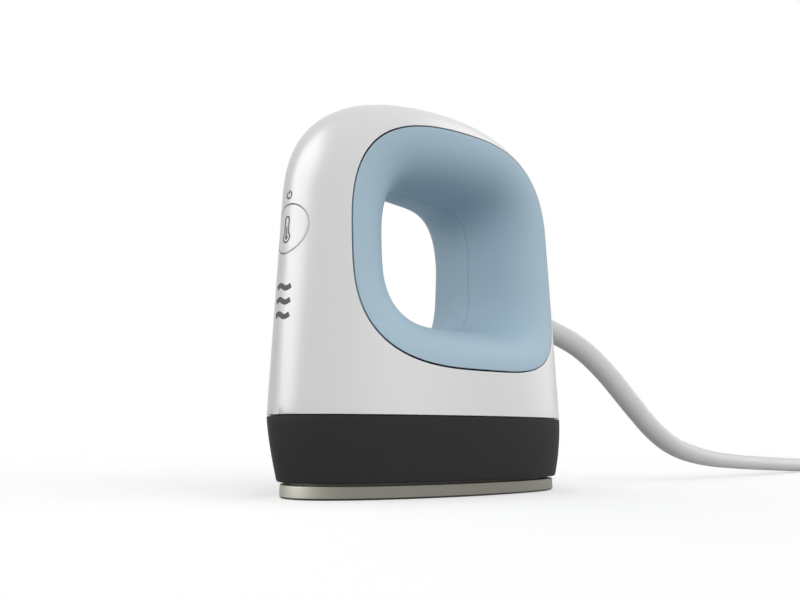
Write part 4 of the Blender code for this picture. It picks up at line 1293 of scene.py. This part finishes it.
def shown(finish):
    """1 for rays that show a thing, straight or through mirror and glass, and 0 for its light."""
    kinds = ("Is Camera Ray", "Is Glossy Ray", "Is Transmission Ray")
    seen, mirrored, through = (finish.add("ShaderNodeLightPath", output=kind) for kind in kinds)
    return (seen + mirrored + through).maths("MINIMUM", 1.0)


floor_sheet = bmesh.new()
bmesh.ops.create_grid(floor_sheet, x_segments=1, y_segments=1, size=floor_size)
floor = from_sheet("studio_floor", floor_sheet)
floor.location.z = -floor_drop
finish = Finish(bpy.data.materials.new("floor_white"))
showing = shown(finish)
floor_white = finish.shade(Base_Color=finish.mix(showing, floor_colour, floor_seen_colour),
                           Roughness=1.0, Specular_IOR_Level=0.0, Emission_Strength=1.0,
                           Emission_Color=finish.mix(showing, (0.0,) * 3, floor_lift))
floor.data.materials.append(floor_white)

# %% [markdown]
# ## The studio
#
# The sky is what a white studio gives: some light from everywhere, and broad soft patches
# where its big diffusers hang. Each patch is a power of the cosine to its middle. A small
# plastic thing shows its gloss only as the mirror of a lamp, so three softboxes stand round
# it for gloss alone: a tall one at the nose draws the long bright band, one behind lights
# the rear edge, and a weak one on the side that is seen wakes the metal.

# %% Sky
world = bpy.data.worlds.new("studio_sky")
scene.world = world
sky = Finish(world)
looking = sky.add("ShaderNodeTexCoord", output="Generated")


def lobe(direction, sharpness):
    """A soft patch of light in one direction of the sky."""
    aim = Vector(direction).normalized()
    values = {0: looking, 1: tuple(aim)}
    facing = sky.add("ShaderNodeVectorMath", {"operation": "DOT_PRODUCT"}, values, "Value")
    return facing.maths("MAXIMUM", 0.0) ** sharpness


sky_level = 0.25
patches = (((1, 0, 0), 3.5, 1.6), ((0.6, 0.8, 0.3), 4, 0.4), ((0.7, -0.7, 0.05), 4, 1.15),
           ((-0.5, -0.85, 0.45), 4, 0.42), ((-1, 0.1, 0.1), 3, 0.75), ((0, 0, 1), 4, 0.12))
glow = sum((lobe(direction, sharpness) * level for direction, sharpness, level in patches), sky_level)
white = shown(sky)
background = sky.nodes["Background"]
sky.feed(background.inputs["Strength"], white + (1 - white) * glow)
background.inputs["Color"].default_value = (1, 1, 1, 1)

# %% Softboxes
softbox_reach = 1.5


def softbox(name, azimuth, rise, width, height, strength, lean=0.0):
    """A broad lamp that faces the press; azimuth 0 is the nose, 90 the side that is seen."""
    data = bpy.data.lights.new(name, "AREA")
    data.shape = "RECTANGLE"
    data.size = width
    data.size_y = height
    data.energy = strength * width * height
    box = placed(name, data)
    away = Vector((sin(azimuth) * cos(rise), -cos(azimuth) * cos(rise), sin(rise)))
    box.location = away * softbox_reach
    box.rotation_euler = (away.to_track_quat("Z", "Y") @ Quaternion((0, 0, 1), lean)).to_euler()
    box.visible_diffuse = False


softbox("nose_softbox", radians(-18), radians(31), 1.35, 1.9, 25, lean=radians(-28))
softbox("rear_softbox", radians(158), radians(34), 0.8, 1.8, 7)
softbox("front_softbox", radians(94), radians(16), 0.8, 0.9, 4.5)
scene.view_settings.view_transform = "Standard"

# %% Cord facts
cord_exit = (0, rear_edge(cord_height), cord_height)
